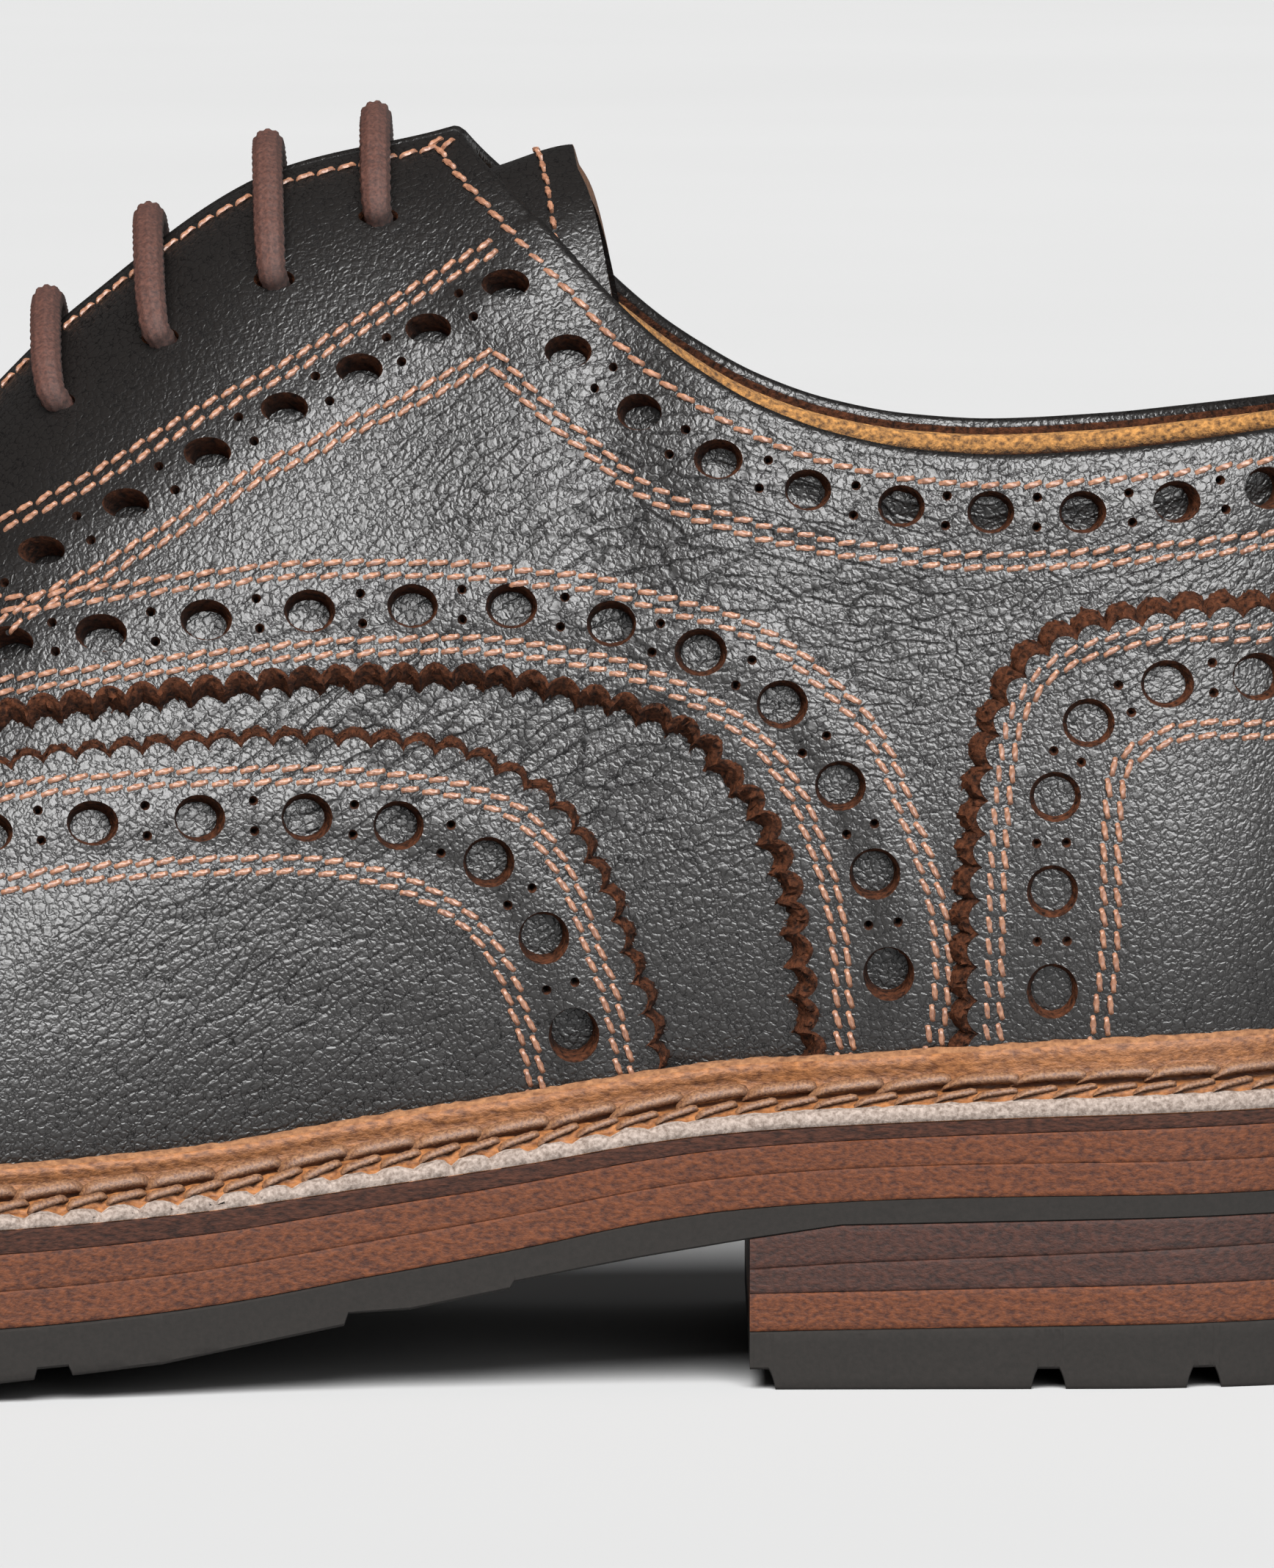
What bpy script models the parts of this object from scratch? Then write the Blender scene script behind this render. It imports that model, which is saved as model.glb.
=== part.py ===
"""Brogue derby shoe for the left foot, in millimetres until add() turns them into metres.

X runs to the toe, Y to the outer side of the foot, Z up, and the floor is Z = 0. Until add() moves it to the middle of
the shoe, x starts at the back of the sole.
"""

import math

import bpy
import numpy as np

SOLE_LENGTH = 308.0
BALL_WIDTH = 109.4
INSTEP_HEIGHT = 124.0  # from the floor to the ridge of the instep
HEEL_LENGTH = 76.0
HEEL_LEDGE, TOE_LEDGE = 9.0, 10.0  # from the end of the sole to the upper
SIDE_LEDGE = 10.2
RIM = 7.4  # height of the welt
DARK_LAYER = 2.3
STACK_LAYER = 3.6
NOTCH_DEPTH, NOTCH_WIDTH = 2.0, 2.6  # in the top piece of the heel
WALL = 2.2  # lined upper
OVERLAY = 1.2  # one more layer of leather
INSOLE = 3.2
THROAT_FRONT = 160.0  # front end of the lacing slot
SLOT_WIDTH = 10.0
EYELET = 4.0
LACE = 3.1
LACE_BELOW = 1.9  # where it is pressed flat below the facings
TONGUE = 1.9
TONGUE_DROP = 21.0  # of its two sides below its ridge
WING_PEAK = 11.0
GAP = 0.3  # between pieces that touch
OVERLAY_GAP = 0.45  # between layers of leather, whose facets differ a little
LATERAL, MEDIAL = 1, -1

# One step of the tables along, across and up the shoe: a share of the size that it follows.
ALONG, ACROSS, UP = SOLE_LENGTH / 308, BALL_WIDTH / 109.4, INSTEP_HEIGHT / 124

# Sections of the last: place along the shoe, middle, half width at the feather line, height of the ridge, half width
# of the collar, bulge on the outer and the inner side, height of the bulge, reach and drop of the shoulder.
LAST = [
    (9, 0.0, 27.8, 110.0, 20.0, 7.5, 7.5, 22, 1.5, 28),
    (20, 0.0, 28.0, 110.0, 22.5, 7.0, 7.0, 24, 1.5, 27),
    (50, 0.3, 28.2, 110.0, 25.0, 6.0, 5.5, 28, 1.5, 25),
    (66, 0.8, 27.9, 116.0, 22.0, 6.5, 6.0, 31, 4.0, 22),
    (80, 1.5, 27.4, 124.0, 13.0, 7.5, 8.0, 34, 13.0, 15),
    (92, 2.0, 27.2, 124.0, 0.0, 8.0, 9.5, 35, 25.0, 3),
    (107, 2.3, 27.9, 120.3, 0.0, 9.0, 11.0, 36, 23.0, 0),
    (121, 2.3, 29.6, 117.0, 0.0, 9.5, 11.5, 36, 22.5, 0),
    (141, 1.8, 34.7, 103.2, 0.0, 8.5, 11.0, 32, 25.0, 0),
    (158, 1.0, 39.2, 86.5, 0.0, 7.5, 9.5, 27, 28.0, 0),
    (180, 0.2, 43.0, 70.5, 0.0, 7.2, 7.5, 23, 30.0, 0),
    (210, 0.0, 44.5, 59.5, 0.0, 7.0, 7.0, 20, 31.0, 0),
    (240, -0.8, 43.5, 53.8, 0.0, 6.5, 6.5, 17, 29.0, 0),
    (270, -2.5, 41.7, 50.5, 0.0, 6.0, 6.0, 15, 26.0, 0),
    (298, -5.0, 39.7, 48.5, 0.0, 5.0, 5.0, 14, 24.0, 0),
]
LAST_STEPS = (ALONG, ACROSS, ACROSS, UP, ACROSS, ACROSS, ACROSS, UP, ACROSS, UP)

# Place along the shoe and height.
SEAT = [(0, 27.7), (24, 27.2), (47, 26.6), (67, 25.8), (78.6, 25.0), (86.5, 24.0), (97, 22.2), (113, 20.0),
        (129, 18.0), (148, 16.8), (165, 16.2), (185, 15.9), (205, 16.0), (230, 16.7), (255, 18.3), (280, 20.8),
        (308, 24.5)]
OUTSOLE_BOTTOM = [(0, 17.4), (24.6, 16.9), (66.6, 16.1), (76, 14.7), (86.3, 13.0), (98.5, 10.7), (98.9, 10.0),
                  (108.6, 8.1), (114.6, 7.8), (115.0, 6.6), (124.9, 4.7), (132.6, 3.3), (136.9, 2.8), (137.2, 3.9),
                  (142.8, 3.5), (143.1, 2.2), (148.5, 1.9), (158, 0.8), (170, 0.0), (225, 0.0), (240, 0.9),
                  (255, 2.2), (280, 5.0), (308, 9.0)]
LIFT_BOTTOMS = [[(0, 14.6), (24.6, 14.0), (66.6, 12.4), (76, 11.8)], [(0, 10.9), (24.6, 10.4), (66.6, 9.6), (76, 9.4)],
                [(0, 6.8), (24.6, 6.5), (66.6, 5.9), (76, 5.7)]]

# Place along the shoe and share of the named size.
RIM_SHARE = [(0, 1), (24, 1), (47, 0.96), (67, 0.87), (97, 0.89), (113, 0.87), (129, 0.8), (148, 0.78), (308, 0.78)]
DARK_SHARE = [(0, 0.61), (67, 0.63), (148, 1), (308, 1)]
UPPER_SHARE = [(0, 0.92), (25, 0.92), (67, 0.76), (148, 1), (308, 1)]
LOWER_SHARE = [(0, 0.92), (67, 0.89), (148, 1), (308, 1)]
LEDGE_SHARE = [(0, 0.84), (80, 0.86), (120, 0.92), (170, 1), (308, 1)]
NOTCHES = [0.21, 0.41, 0.61]  # middle of each, as a share of the heel

# Edges of the panels, as place along the shoe and height.
TOPLINE = [(0, 95.5), (10, 94.6), (24.5, 92.3), (31, 91.4), (39, 90.5), (51, 89.9), (59, 90.4), (67, 91.9),
           (74.6, 94.6), (82.6, 99.4), (89, 104.6), (93, 108.5), (98.6, 114.2), (103, 118.6), (107, 124), (120, 150)]
QUARTER_LOWER = [(66.9, 30), (67.9, 32.4), (69.7, 40.4), (70.3, 43.9), (73.4, 55.8), (77.4, 60.9), (79.4, 63.6),
                 (86.5, 67.2), (97, 69.8), (104, 70.4), (121, 70.0), (132.7, 68.7), (148.5, 66.7), (158, 66.0),
                 (168, 66.0)]
WING_UPPER = [(84.1, 32.4), (87, 41.1), (89.1, 47.9), (92.4, 54.1), (97.1, 58.9), (103, 61.9), (108.9, 62.9),
              (117, 63.4), (124.8, 63.3), (140.6, 62.1), (148.5, 60.9), (165, 57.6), (180, 55.0), (192, 55.5),
              (200, 57.5), (207, 60.5), (214, 66.0)]
COUNTER_UPPER = [(0, 77.5), (12, 77), (24.5, 76), (37, 74.9), (43.8, 73.6), (48.5, 70.4), (51.3, 65.2), (52.7, 58.1),
                 (53.5, 50.2), (53.9, 42.3), (54.2, 33.6)]
EYELETS = [(111.7, 112.4), (121.8, 106.5), (132.7, 100.8), (142.6, 94.4), (152.8, 88.3)]

# Places along the shoe at which the sheets have a column of points.
STATIONS = [11, 14, 18.5, 24, 31, 39, 48, 57, 66, 74, 82, 90, 97, 104, 112, 120, 129, 138, 147, 155, 160, 167, 176, 186,
            198, 210, 222, 234, 246, 258, 268, 277, 284, 290, 294.5, 297]
ROWS = 10


def smooth(table, *steps):
    """A curve through the table's points, of lengths along and up the shoe, that never overshoots them."""
    along, up = steps or (ALONG, UP)
    xs, ys = np.array(table, float).T
    xs, ys = xs * along, ys * up
    step, slope = np.diff(xs), np.diff(ys) / np.diff(xs)
    tangent = np.concatenate([slope[:1], np.zeros(len(xs) - 2), slope[-1:]])
    for i in range(1, len(xs) - 1):
        if slope[i - 1] * slope[i] > 0:
            a, b = 2 * step[i] + step[i - 1], step[i] + 2 * step[i - 1]
            tangent[i] = (a + b) / (a / slope[i - 1] + b / slope[i])

    def curve(x):
        x = np.clip(x, xs[0], xs[-1])
        i = np.clip(np.searchsorted(xs, x) - 1, 0, len(xs) - 2)
        t = (x - xs[i]) / step[i]
        return (ys[i] * (1 + 2 * t) * (1 - t) ** 2 + tangent[i] * step[i] * t * (1 - t) ** 2
                + ys[i + 1] * t * t * (3 - 2 * t) + tangent[i + 1] * step[i] * t * t * (t - 1))

    return curve


def straight(table):
    xs, ys = np.array(table, float).T
    return lambda x: np.interp(x, xs * ALONG, ys * UP)


middle, half_width, ridge, collar, bulge_out, bulge_in, bulge_height, shoulder, drop = [
    smooth([(row[0], row[k]) for row in LAST], ALONG, LAST_STEPS[k]) for k in range(1, 10)]
seat, topline = smooth(SEAT), smooth(TOPLINE)
rim_height, ledge = smooth(RIM_SHARE, ALONG, RIM), smooth(LEDGE_SHARE, ALONG, SIDE_LEDGE)
dark_layer = smooth(DARK_SHARE, ALONG, DARK_LAYER)
upper_layer, lower_layer = smooth(UPPER_SHARE, ALONG, STACK_LAYER), smooth(LOWER_SHARE, ALONG, STACK_LAYER)
HEEL_ROUND, TOE_ROUND = 33 * ALONG, 95 * ALONG  # lengths over which the outline rounds off


def dark_bottom(x):
    return seat(x) - dark_layer(x)


def stack_split(x):
    return dark_bottom(x) - upper_layer(x)


def stack_bottom(x):
    return stack_split(x) - lower_layer(x)


def rounded(x, start, end, heel_round, toe_round):
    """Share of the half width left at x, where an outline rounds off to its two ends."""
    heel = np.clip((start + heel_round - x) / heel_round, 0, 1)
    toe = np.clip((x - end + toe_round) / toe_round, 0, 1)
    return (1 - heel ** 2.1) ** (1 / 2.1) * (1 - toe ** 2.3) ** (1 / 2.3)


FEATHER_START, FEATHER_END = HEEL_LEDGE, SOLE_LENGTH - TOE_LEDGE


def share_at(x):
    """Share of the way round one side at which the feather line is at x."""
    share = (np.asarray(x, float) - FEATHER_START) / (FEATHER_END - FEATHER_START)
    return np.arccos(np.clip(1 - 2 * share, -1, 1)) / math.pi


def feather(u, side):
    x = FEATHER_START + (FEATHER_END - FEATHER_START) * (1 - np.cos(math.pi * u)) / 2
    half = half_width(x) * rounded(x, FEATHER_START, FEATHER_END, HEEL_ROUND, TOE_ROUND - TOE_LEDGE)
    return x, middle(x) + side * half


def sole_edge(u, side):
    x = SOLE_LENGTH * (1 - np.cos(math.pi * u)) / 2
    inner = np.clip(x, FEATHER_START, FEATHER_END)
    half = (half_width(inner) + ledge(x)) * rounded(x, 0.0, SOLE_LENGTH, HEEL_ROUND + HEEL_LEDGE - 1, TOE_ROUND)
    return x, middle(inner) + side * half


def last_raw(u, side, t):
    """Point of the last. Each section turns to face the heel or the toe as it nears the end, about its own axis."""
    x, y = feather(u, side)
    heel = np.clip((50 * ALONG - x) / (43 * ALONG), 0, None)
    toe = np.clip((x - 210 * ALONG) / (88 * ALONG), 0, None)
    axis = x + 23 * ALONG * heel ** 2 - 42 * ALONG * toe ** 2
    away = np.stack([x - axis, y - middle(axis)], -1)
    reach = np.linalg.norm(away, axis=-1)
    away = away / reach[..., None]
    low = seat(x) + GAP
    bulge = bulge_out(x) if side > 0 else bulge_in(x)
    radii = (reach, reach + bulge, collar(x) + shoulder(x), collar(x))
    heights = (low, low + bulge_height(x), ridge(x) - drop(x), ridge(x))
    weights = ((1 - t) ** 3, 3 * t * (1 - t) ** 2, 3 * t * t * (1 - t), t ** 3)
    radius = sum(w * r for w, r in zip(weights, radii))
    z = sum(w * h for w, h in zip(weights, heights))
    return np.stack([axis + away[..., 0] * radius, middle(axis) + away[..., 1] * radius, z], -1)


def outward(u, side, t):
    e = 2e-4
    along = last_raw(np.clip(u + e, 0, 1), side, t) - last_raw(np.clip(u - e, 0, 1), side, t)
    up = last_raw(u, side, np.clip(t + e, 0, 1)) - last_raw(u, side, np.clip(t - e, 0, 1))
    out = -side * np.cross(along, up)
    return out / np.linalg.norm(out, axis=-1, keepdims=True)


def last_point(u, side, t, lift=0.0):
    """Point of the last: u from the heel to the toe, t from the feather line to the ridge, raised outwards by lift."""
    u, t = np.broadcast_arrays(np.asarray(u, float), np.asarray(t, float))
    out = outward(u, side, t)
    both = out + outward(u, -side, t) + (0, 0, 1e-6)
    both /= np.linalg.norm(both, axis=-1, keepdims=True)
    shared = (((t > 1 - 1e-9) & (collar(feather(u, side)[0]) < 1e-6)) | (u < 1e-6) | (u > 1 - 1e-6))[..., None]
    return last_raw(u, side, t) + np.where(shared, both, out) * np.asarray(lift, float)[..., None]


def share_where(u, side, test):
    """The t up to which test(point) holds all the way from the feather line, for each u."""
    u = np.atleast_1d(np.asarray(u, float))
    ts = np.linspace(0, 1, 401)
    over = ~test(last_raw(u[:, None], side, ts[None, :]))
    over[:, -1] = True
    first = np.argmax(over, axis=1)
    low, high = ts[np.maximum(first - 1, 0)], ts[first]
    for _ in range(25):
        mid = (low + high) / 2
        inside = test(last_raw(u, side, mid))
        low, high = np.where(inside, mid, low), np.where(inside, high, mid)
    return high


def below(curve):
    return lambda p: p[..., 2] < curve(p[..., 0])


def upper_top(u, side):
    """Where the upper ends: at the topline, at the edge of the lacing slot, or at the ridge."""
    line = share_where(u, side, below(topline))
    slot = share_where(u, side, lambda p: side * (p[..., 1] - middle(p[..., 0])) > SLOT_WIDTH / 2)
    x = feather(np.asarray(u, float), side)[0]
    top = np.where(x < THROAT_FRONT - 0.01, np.minimum(line, np.where(x > 90 * ALONG, slot, 1.0)), 1.0)
    return np.where(top > 1 - 1e-6, 1.0, top)


def above_rim(u, side):
    """Where a panel ends at the foot: just over the rim of the welt."""
    return share_where(u, side, lambda p: p[..., 2] < seat(p[..., 0]) + rim_height(p[..., 0]) + 3 * GAP)


def add(name, points, faces, material, collection=None):
    """Mesh object from points in millimetres, moved to the middle of the shoe."""
    points = (np.asarray(points, float) - CENTRE) / 1000
    mesh = bpy.data.meshes.new(name)
    mesh.from_pydata(points.tolist(), [], [list(map(int, f)) for f in faces])
    obj = bpy.data.objects.new(name, mesh)
    (collection or bpy.context.scene.collection).objects.link(obj)
    if material:
        mesh.materials.append(material)
    return obj


def welded(points, faces):
    """Points that coincide made one, and faces that collapse left out."""
    _, first, index = np.unique(np.round(points, 4), axis=0, return_index=True, return_inverse=True)
    index = index.reshape(-1)
    kept = []
    for face in faces:
        ring = [index[f] for f in face]
        ring = [v for k, v in enumerate(ring) if v != ring[k - 1]]
        if len(ring) > 2:
            kept.append(ring)
    return points[first], kept


def shell(name, columns, material, thickness, offset, closed=False):
    """Leather sheet through columns of points, each from the bottom up, thickened to one side."""
    columns = np.asarray(columns)
    count, rows = columns.shape[:2]
    faces = [(i * rows + j, i * rows + j + 1, (i + 1) % count * rows + j + 1, (i + 1) % count * rows + j)
             for i in range(count if closed else count - 1) for j in range(rows - 1)]
    points, faces = welded(columns.reshape(-1, 3), faces)
    obj = add(name, points, faces, material)
    solid = obj.modifiers.new("thickness", "SOLIDIFY")
    solid.thickness = thickness / 1000
    solid.offset = offset
    solid.use_even_offset = True
    solid.use_quality_normals = True
    return obj


def panel(low, top, lift, rows):
    """Maker of columns between two shares of the girth."""
    def columns(u, side):
        bottom, end = low(u, side), top(u, side)
        t = bottom[:, None] + (end - bottom)[:, None] * np.linspace(0, 1, rows)[None, :]
        return last_point(u[:, None], side, t, np.full(t.shape, lift))
    return columns


def round_the_shoe(columns, stations):
    """Columns up the outer side from heel to toe, then back along the inner side."""
    u = share_at(stations)
    return np.concatenate([columns(u, LATERAL), columns(u, MEDIAL)[::-1][1:-1]])


def ladder(name, sections, material):
    """Solid through four-cornered sections, each given anticlockwise as seen from the toe."""
    faces = [(3, 2, 1, 0), tuple(4 * (len(sections) - 1) + k for k in range(4))]
    for i in range(len(sections) - 1):
        a, b = 4 * i, 4 * i + 4
        faces += [(a + k, a + (k + 1) % 4, b + (k + 1) % 4, b + k) for k in range(4)]
    return add(name, np.concatenate(sections), faces, material)


def slab(name, xs, top, bottom, material):
    """Layer of the sole between two height curves, as wide as the sole."""
    sections = []
    for x in xs:
        u = math.acos(max(-1.0, min(1.0, 1 - 2 * x / SOLE_LENGTH))) / math.pi
        outer, inner = sole_edge(u, LATERAL)[1], sole_edge(u, MEDIAL)[1]
        sections.append([(x, outer, bottom(x)), (x, outer, top(x)), (x, inner, top(x)), (x, inner, bottom(x))])
    return ladder(name, sections, material)


def material(name, color, roughness):
    made = bpy.data.materials.new(name)
    made.use_nodes = True
    shader = next(n for n in made.node_tree.nodes if n.type == "BSDF_PRINCIPLED")
    linear = [c / 12.92 if c <= 0.04045 else ((c + 0.055) / 1.055) ** 2.4 for c in color]
    shader.inputs["Base Color"].default_value = (*linear, 1)
    shader.inputs["Roughness"].default_value = roughness
    made.diffuse_color = (*linear, 1)
    return made


for old in list(bpy.data.objects):
    bpy.data.objects.remove(old)

around = np.linspace(0, 1, 400)
CENTRE = np.array([SOLE_LENGTH / 2, (max(sole_edge(around, LATERAL)[1]) + min(sole_edge(around, MEDIAL)[1])) / 2, 0.0])
stations = [FEATHER_START, FEATHER_START + 0.4] + [x * ALONG for x in STATIONS if x * ALONG < FEATHER_END - 0.5]
stations.append(FEATHER_END)

black = material("leather_black", (0.16, 0.155, 0.155), 0.42)
tongue_leather = material("leather_tongue", (0.17, 0.16, 0.155), 0.5)
tan = material("leather_welt", (0.76, 0.52, 0.27), 0.6)
insole_leather = material("leather_insole", (0.74, 0.55, 0.33), 0.6)
dark = material("leather_midsole_dark", (0.22, 0.14, 0.10), 0.6)
stacked = material("leather_stacked", (0.42, 0.24, 0.14), 0.55)
rubber = material("rubber_sole", (0.22, 0.21, 0.20), 0.8)
cord = material("cord_brown", (0.33, 0.20, 0.15), 0.8)

cutters = bpy.data.collections.new("cutters")
cutters.hide_render = True
bpy.context.scene.collection.children.link(cutters)


def eyelet_at(i, side):
    x, z = EYELETS[i][0] * ALONG, EYELETS[i][1] * UP
    u = share_at(x)
    return u, share_where(u, side, lambda p: p[..., 2] < z)[0]


def eyelet_cutter(side):
    """Round bars through the eyelets of one side, as one mesh."""
    points, faces = [], []
    sides = 12
    for i in range(len(EYELETS)):
        u, t = eyelet_at(i, side)
        inside, outside = last_point(u, side, t, -3 * WALL), last_point(u, side, t, 3 * WALL)
        axis = (outside - inside) / np.linalg.norm(outside - inside)
        across = np.cross(axis, (1, 0, 0))
        across /= np.linalg.norm(across)
        other = np.cross(axis, across)
        start = len(points)
        for end in (inside, outside):
            for k in range(sides):
                angle = 2 * math.pi * k / sides
                points.append(end + EYELET / 2 * (math.cos(angle) * across + math.sin(angle) * other))
        faces += [(start + k, start + (k + 1) % sides, start + sides + (k + 1) % sides, start + sides + k)
                  for k in range(sides)]
        faces += [tuple(start + k for k in reversed(range(sides))), tuple(start + sides + k for k in range(sides))]
    cutter = add("eyelets_outer" if side > 0 else "eyelets_inner", points, faces, None, cutters)
    cutter.hide_render = True
    cutter.display_type = "WIRE"
    return cutter


def cut(obj, cutter):
    made = obj.modifiers.new("eyelets", "BOOLEAN")
    made.operation = "DIFFERENCE"
    made.solver = "EXACT"
    made.object = cutter


eyelet_cutters = {side: eyelet_cutter(side) for side in (LATERAL, MEDIAL)}

# Upper: the vamp and the lined back part in one, open at the collar, at the lacing slot and underneath.
whole = panel(lambda u, side: np.zeros(len(u)), upper_top, 0.0, ROWS)
upper = shell("upper", round_the_shoe(whole, stations), black, WALL, -1, closed=True)
for cutter in eyelet_cutters.values():
    cut(upper, cutter)

# Quarters: the back half of each side with its facing, over the vamp.
quarter_line = smooth(QUARTER_LOWER)


def quarter_low(u, side):
    rim = above_rim(u, side)
    line = share_where(u, side, below(quarter_line))
    return np.where(feather(u, side)[0] > QUARTER_LOWER[0][0] * ALONG, np.maximum(rim, line), rim)


quarter_stations = ([stations[1]] + [x * ALONG for x in STATIONS if 10 < x < 66.5]
                    + [x * ALONG for x in (67.3, 68.6, 70.3, 73, 77, 79, 85)]
                    + [x * ALONG for x in STATIONS if x > 89 and x * ALONG < THROAT_FRONT - 2] + [THROAT_FRONT - 0.1])
for side, name in ((LATERAL, "quarter_lateral"), (MEDIAL, "quarter_medial")):
    columns = panel(quarter_low, upper_top, OVERLAY_GAP, 8)(share_at(quarter_stations), side)
    cut(shell(name, columns if side > 0 else columns[::-1], black, OVERLAY, 1), eyelet_cutters[side])

# Heel counter, over both quarters.
counter_line = smooth(COUNTER_UPPER)
counter = panel(above_rim, lambda u, side: share_where(u, side, below(counter_line)), OVERLAY + 2 * OVERLAY_GAP, 5)
us = share_at(stations[:2] + [x * ALONG for x in (11, 14, 18.5, 24, 31, 39, 44, 48, 51, 52.8, 53.7)])
shell("heel_counter", np.concatenate([counter(us, MEDIAL)[::-1], counter(us, LATERAL)[1:]]), black, OVERLAY, 1)

# Wing cap over the toe, on the upper's own rows, with its peak drawn back along the ridge.
wing_line = smooth(WING_UPPER)


def wing_columns(u, side):
    x = feather(u, side)[0]
    bottom = above_rim(u, side)
    end = np.where(x > (WING_UPPER[-1][0] - 0.5) * ALONG, 1.0, share_where(u, side, below(wing_line)))
    levels = np.linspace(0, 1, ROWS)[None, :]
    t = np.where(levels < bottom[:, None] + 0.02, bottom[:, None], levels)
    t = np.where(t > end[:, None] - 0.02, end[:, None], t)
    rise = np.clip((t - 0.62) / 0.38, 0, 1)
    fade = np.clip((285 * ALONG - x) / (60 * ALONG), 0, 1)[:, None]
    back = WING_PEAK * rise ** 2 * (3 - 2 * rise) * fade
    return last_point(share_at(x[:, None] - back), side, t, OVERLAY_GAP * (1 + rise * fade))


us = share_at([x * ALONG for x in (84.6, 86.5, 90, 97, 104, 112, 120, 129, 138, 147, 155, 167, 176, 186, 193, 198, 203,
                                   210, 215)] + [x for x in stations if x > 216 * ALONG])
shell("toe_wing", np.concatenate([wing_columns(us, LATERAL), wing_columns(us, MEDIAL)[::-1][1:]]), black, OVERLAY, 1)

# Tongue: an arched sheet below the facings and the lace, out past them at the top.
tongue_xs = np.array([x * ALONG for x in (91.5, 95, 99, 104, 112, 120, 129, 138, 147)]
                     + [THROAT_FRONT - 5, THROAT_FRONT - 1])


def tongue_half(side):
    low = []
    for x in tongue_xs:
        level = ridge(x) - TONGUE_DROP
        low.append(share_where(share_at(x), side, lambda p: p[..., 2] < level)[0])
    low = np.array(low)[:, None]
    rows = np.linspace(0, 1, 6)[None, :]
    out_past = np.clip((99 * ALONG - tongue_xs) / (7.5 * ALONG), 0, 1)[:, None]
    ends = np.clip((110 * ALONG - tongue_xs) / (7 * ALONG), 0, 1) + np.clip((tongue_xs - THROAT_FRONT + 8) / 7, 0, 1)
    depth = WALL + LACE_BELOW + 2 * OVERLAY_GAP + GAP - LACE_BELOW / 2 * np.clip(ends, 0, 1)[:, None]
    x = tongue_xs[:, None] - 4.5 * ALONG * out_past * (1 - rows)
    t = low + (1 - low) * rows
    return last_point(share_at(x), side, t, np.broadcast_to(-depth, t.shape))


halves = tongue_half(LATERAL), tongue_half(MEDIAL)
shell("tongue", np.concatenate([halves[0], halves[1][:, ::-1][:, 1:]], axis=1), tongue_leather, TONGUE, -1)

# Insole, inside the upper.
inset = WALL + GAP + 0.5
sections = []
insole_xs = [x * ALONG for x in (30, 40, 52, 64, 76, 88, 100, 114, 128, 142, 158, 176, 196, 216, 234, 250, 264, 276)]
for x in ([FEATHER_START + inset + d for d in (0.8, 2, 5, 10)] + insole_xs
          + [FEATHER_END - inset - d for d in (9, 4.5, 1.5)]):
    share = rounded(x, FEATHER_START + inset, FEATHER_END - inset, HEEL_ROUND - inset, TOE_ROUND - TOE_LEDGE - inset)
    outer, inner = (middle(x) + side * (half_width(x) - inset) * share for side in (LATERAL, MEDIAL))
    low = seat(x) + GAP
    sections.append([(x, outer, low), (x, outer, low + INSOLE), (x, inner, low + INSOLE), (x, inner, low)])
ladder("insole", sections, insole_leather)

# Welt: a ring round the upper with a raised rim. Each corner is a share of the ledge and a share of the rim's height.
WELT_SECTION = [(1.0, 0.0), (1.0, 0.24), (0.62, 0.42), (0.24, 0.62), (0.28, 0.8), (0.2, 1.0)]


def welt_columns(u, side):
    edge = np.stack(sole_edge(u, side), -1)
    rim_at = rim_height(feather(u, side)[0])
    walls = []
    for share in (0.0, 0.5, 1.0):
        t = share_where(u, side, lambda p: p[..., 2] < seat(p[..., 0]) + GAP + share * rim_height(p[..., 0]))
        wall = last_point(u, side, t if share else np.zeros(len(u)), np.full(len(u), OVERLAY_GAP))
        wall[:, 2] = seat(wall[:, 0]) + GAP / 2 + share * rim_at
        walls.append(wall)
    columns = []
    for across, height in WELT_SECTION:
        start = walls[0] + (walls[2] - walls[0]) * height
        xy = start[:, :2] + (edge - start[:, :2]) * across
        columns.append(np.column_stack([xy, seat(xy[:, 0]) + GAP / 2 + height * rim_at]))
    return np.stack(columns + walls[::-1], axis=1)


welt_stations = sorted([x for x in stations if x < 49 * ALONG or x > 205 * ALONG]
                       + [x * ALONG for x in (57, 66, 74, 82, 97, 112, 129, 147, 167, 186)])
ring = round_the_shoe(welt_columns, welt_stations)
count, rows = ring.shape[:2]
faces = [(i * rows + k, i * rows + (k + 1) % rows, (i + 1) % count * rows + (k + 1) % rows, (i + 1) % count * rows + k)
         for i in range(count) for k in range(rows)]
add("welt", ring.reshape(-1, 3), faces, tan)

# Sole layers and heel.
half = GAP / 2
sole_xs = [0.4, 2, 5] + [x * ALONG for x in (9.5, 16, 24.6, 34, 44, 55, 66.6, 76, 86.3, 98.5, 108.6, 120, 132, 145,
                                             158, 170, 185, 200, 213, 225, 240, 255, 268, 280, 290, 298)]
sole_xs += [SOLE_LENGTH - 4.5, SOLE_LENGTH - 1.4, SOLE_LENGTH - 0.3]
slab("midsole_dark", sole_xs, lambda x: seat(x) - half, lambda x: dark_bottom(x) + half, dark)
slab("midsole_upper", sole_xs, lambda x: dark_bottom(x) - half, lambda x: stack_split(x) + half, stacked)
slab("midsole_lower", sole_xs, lambda x: stack_split(x) - half, lambda x: stack_bottom(x) + half, stacked)

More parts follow.
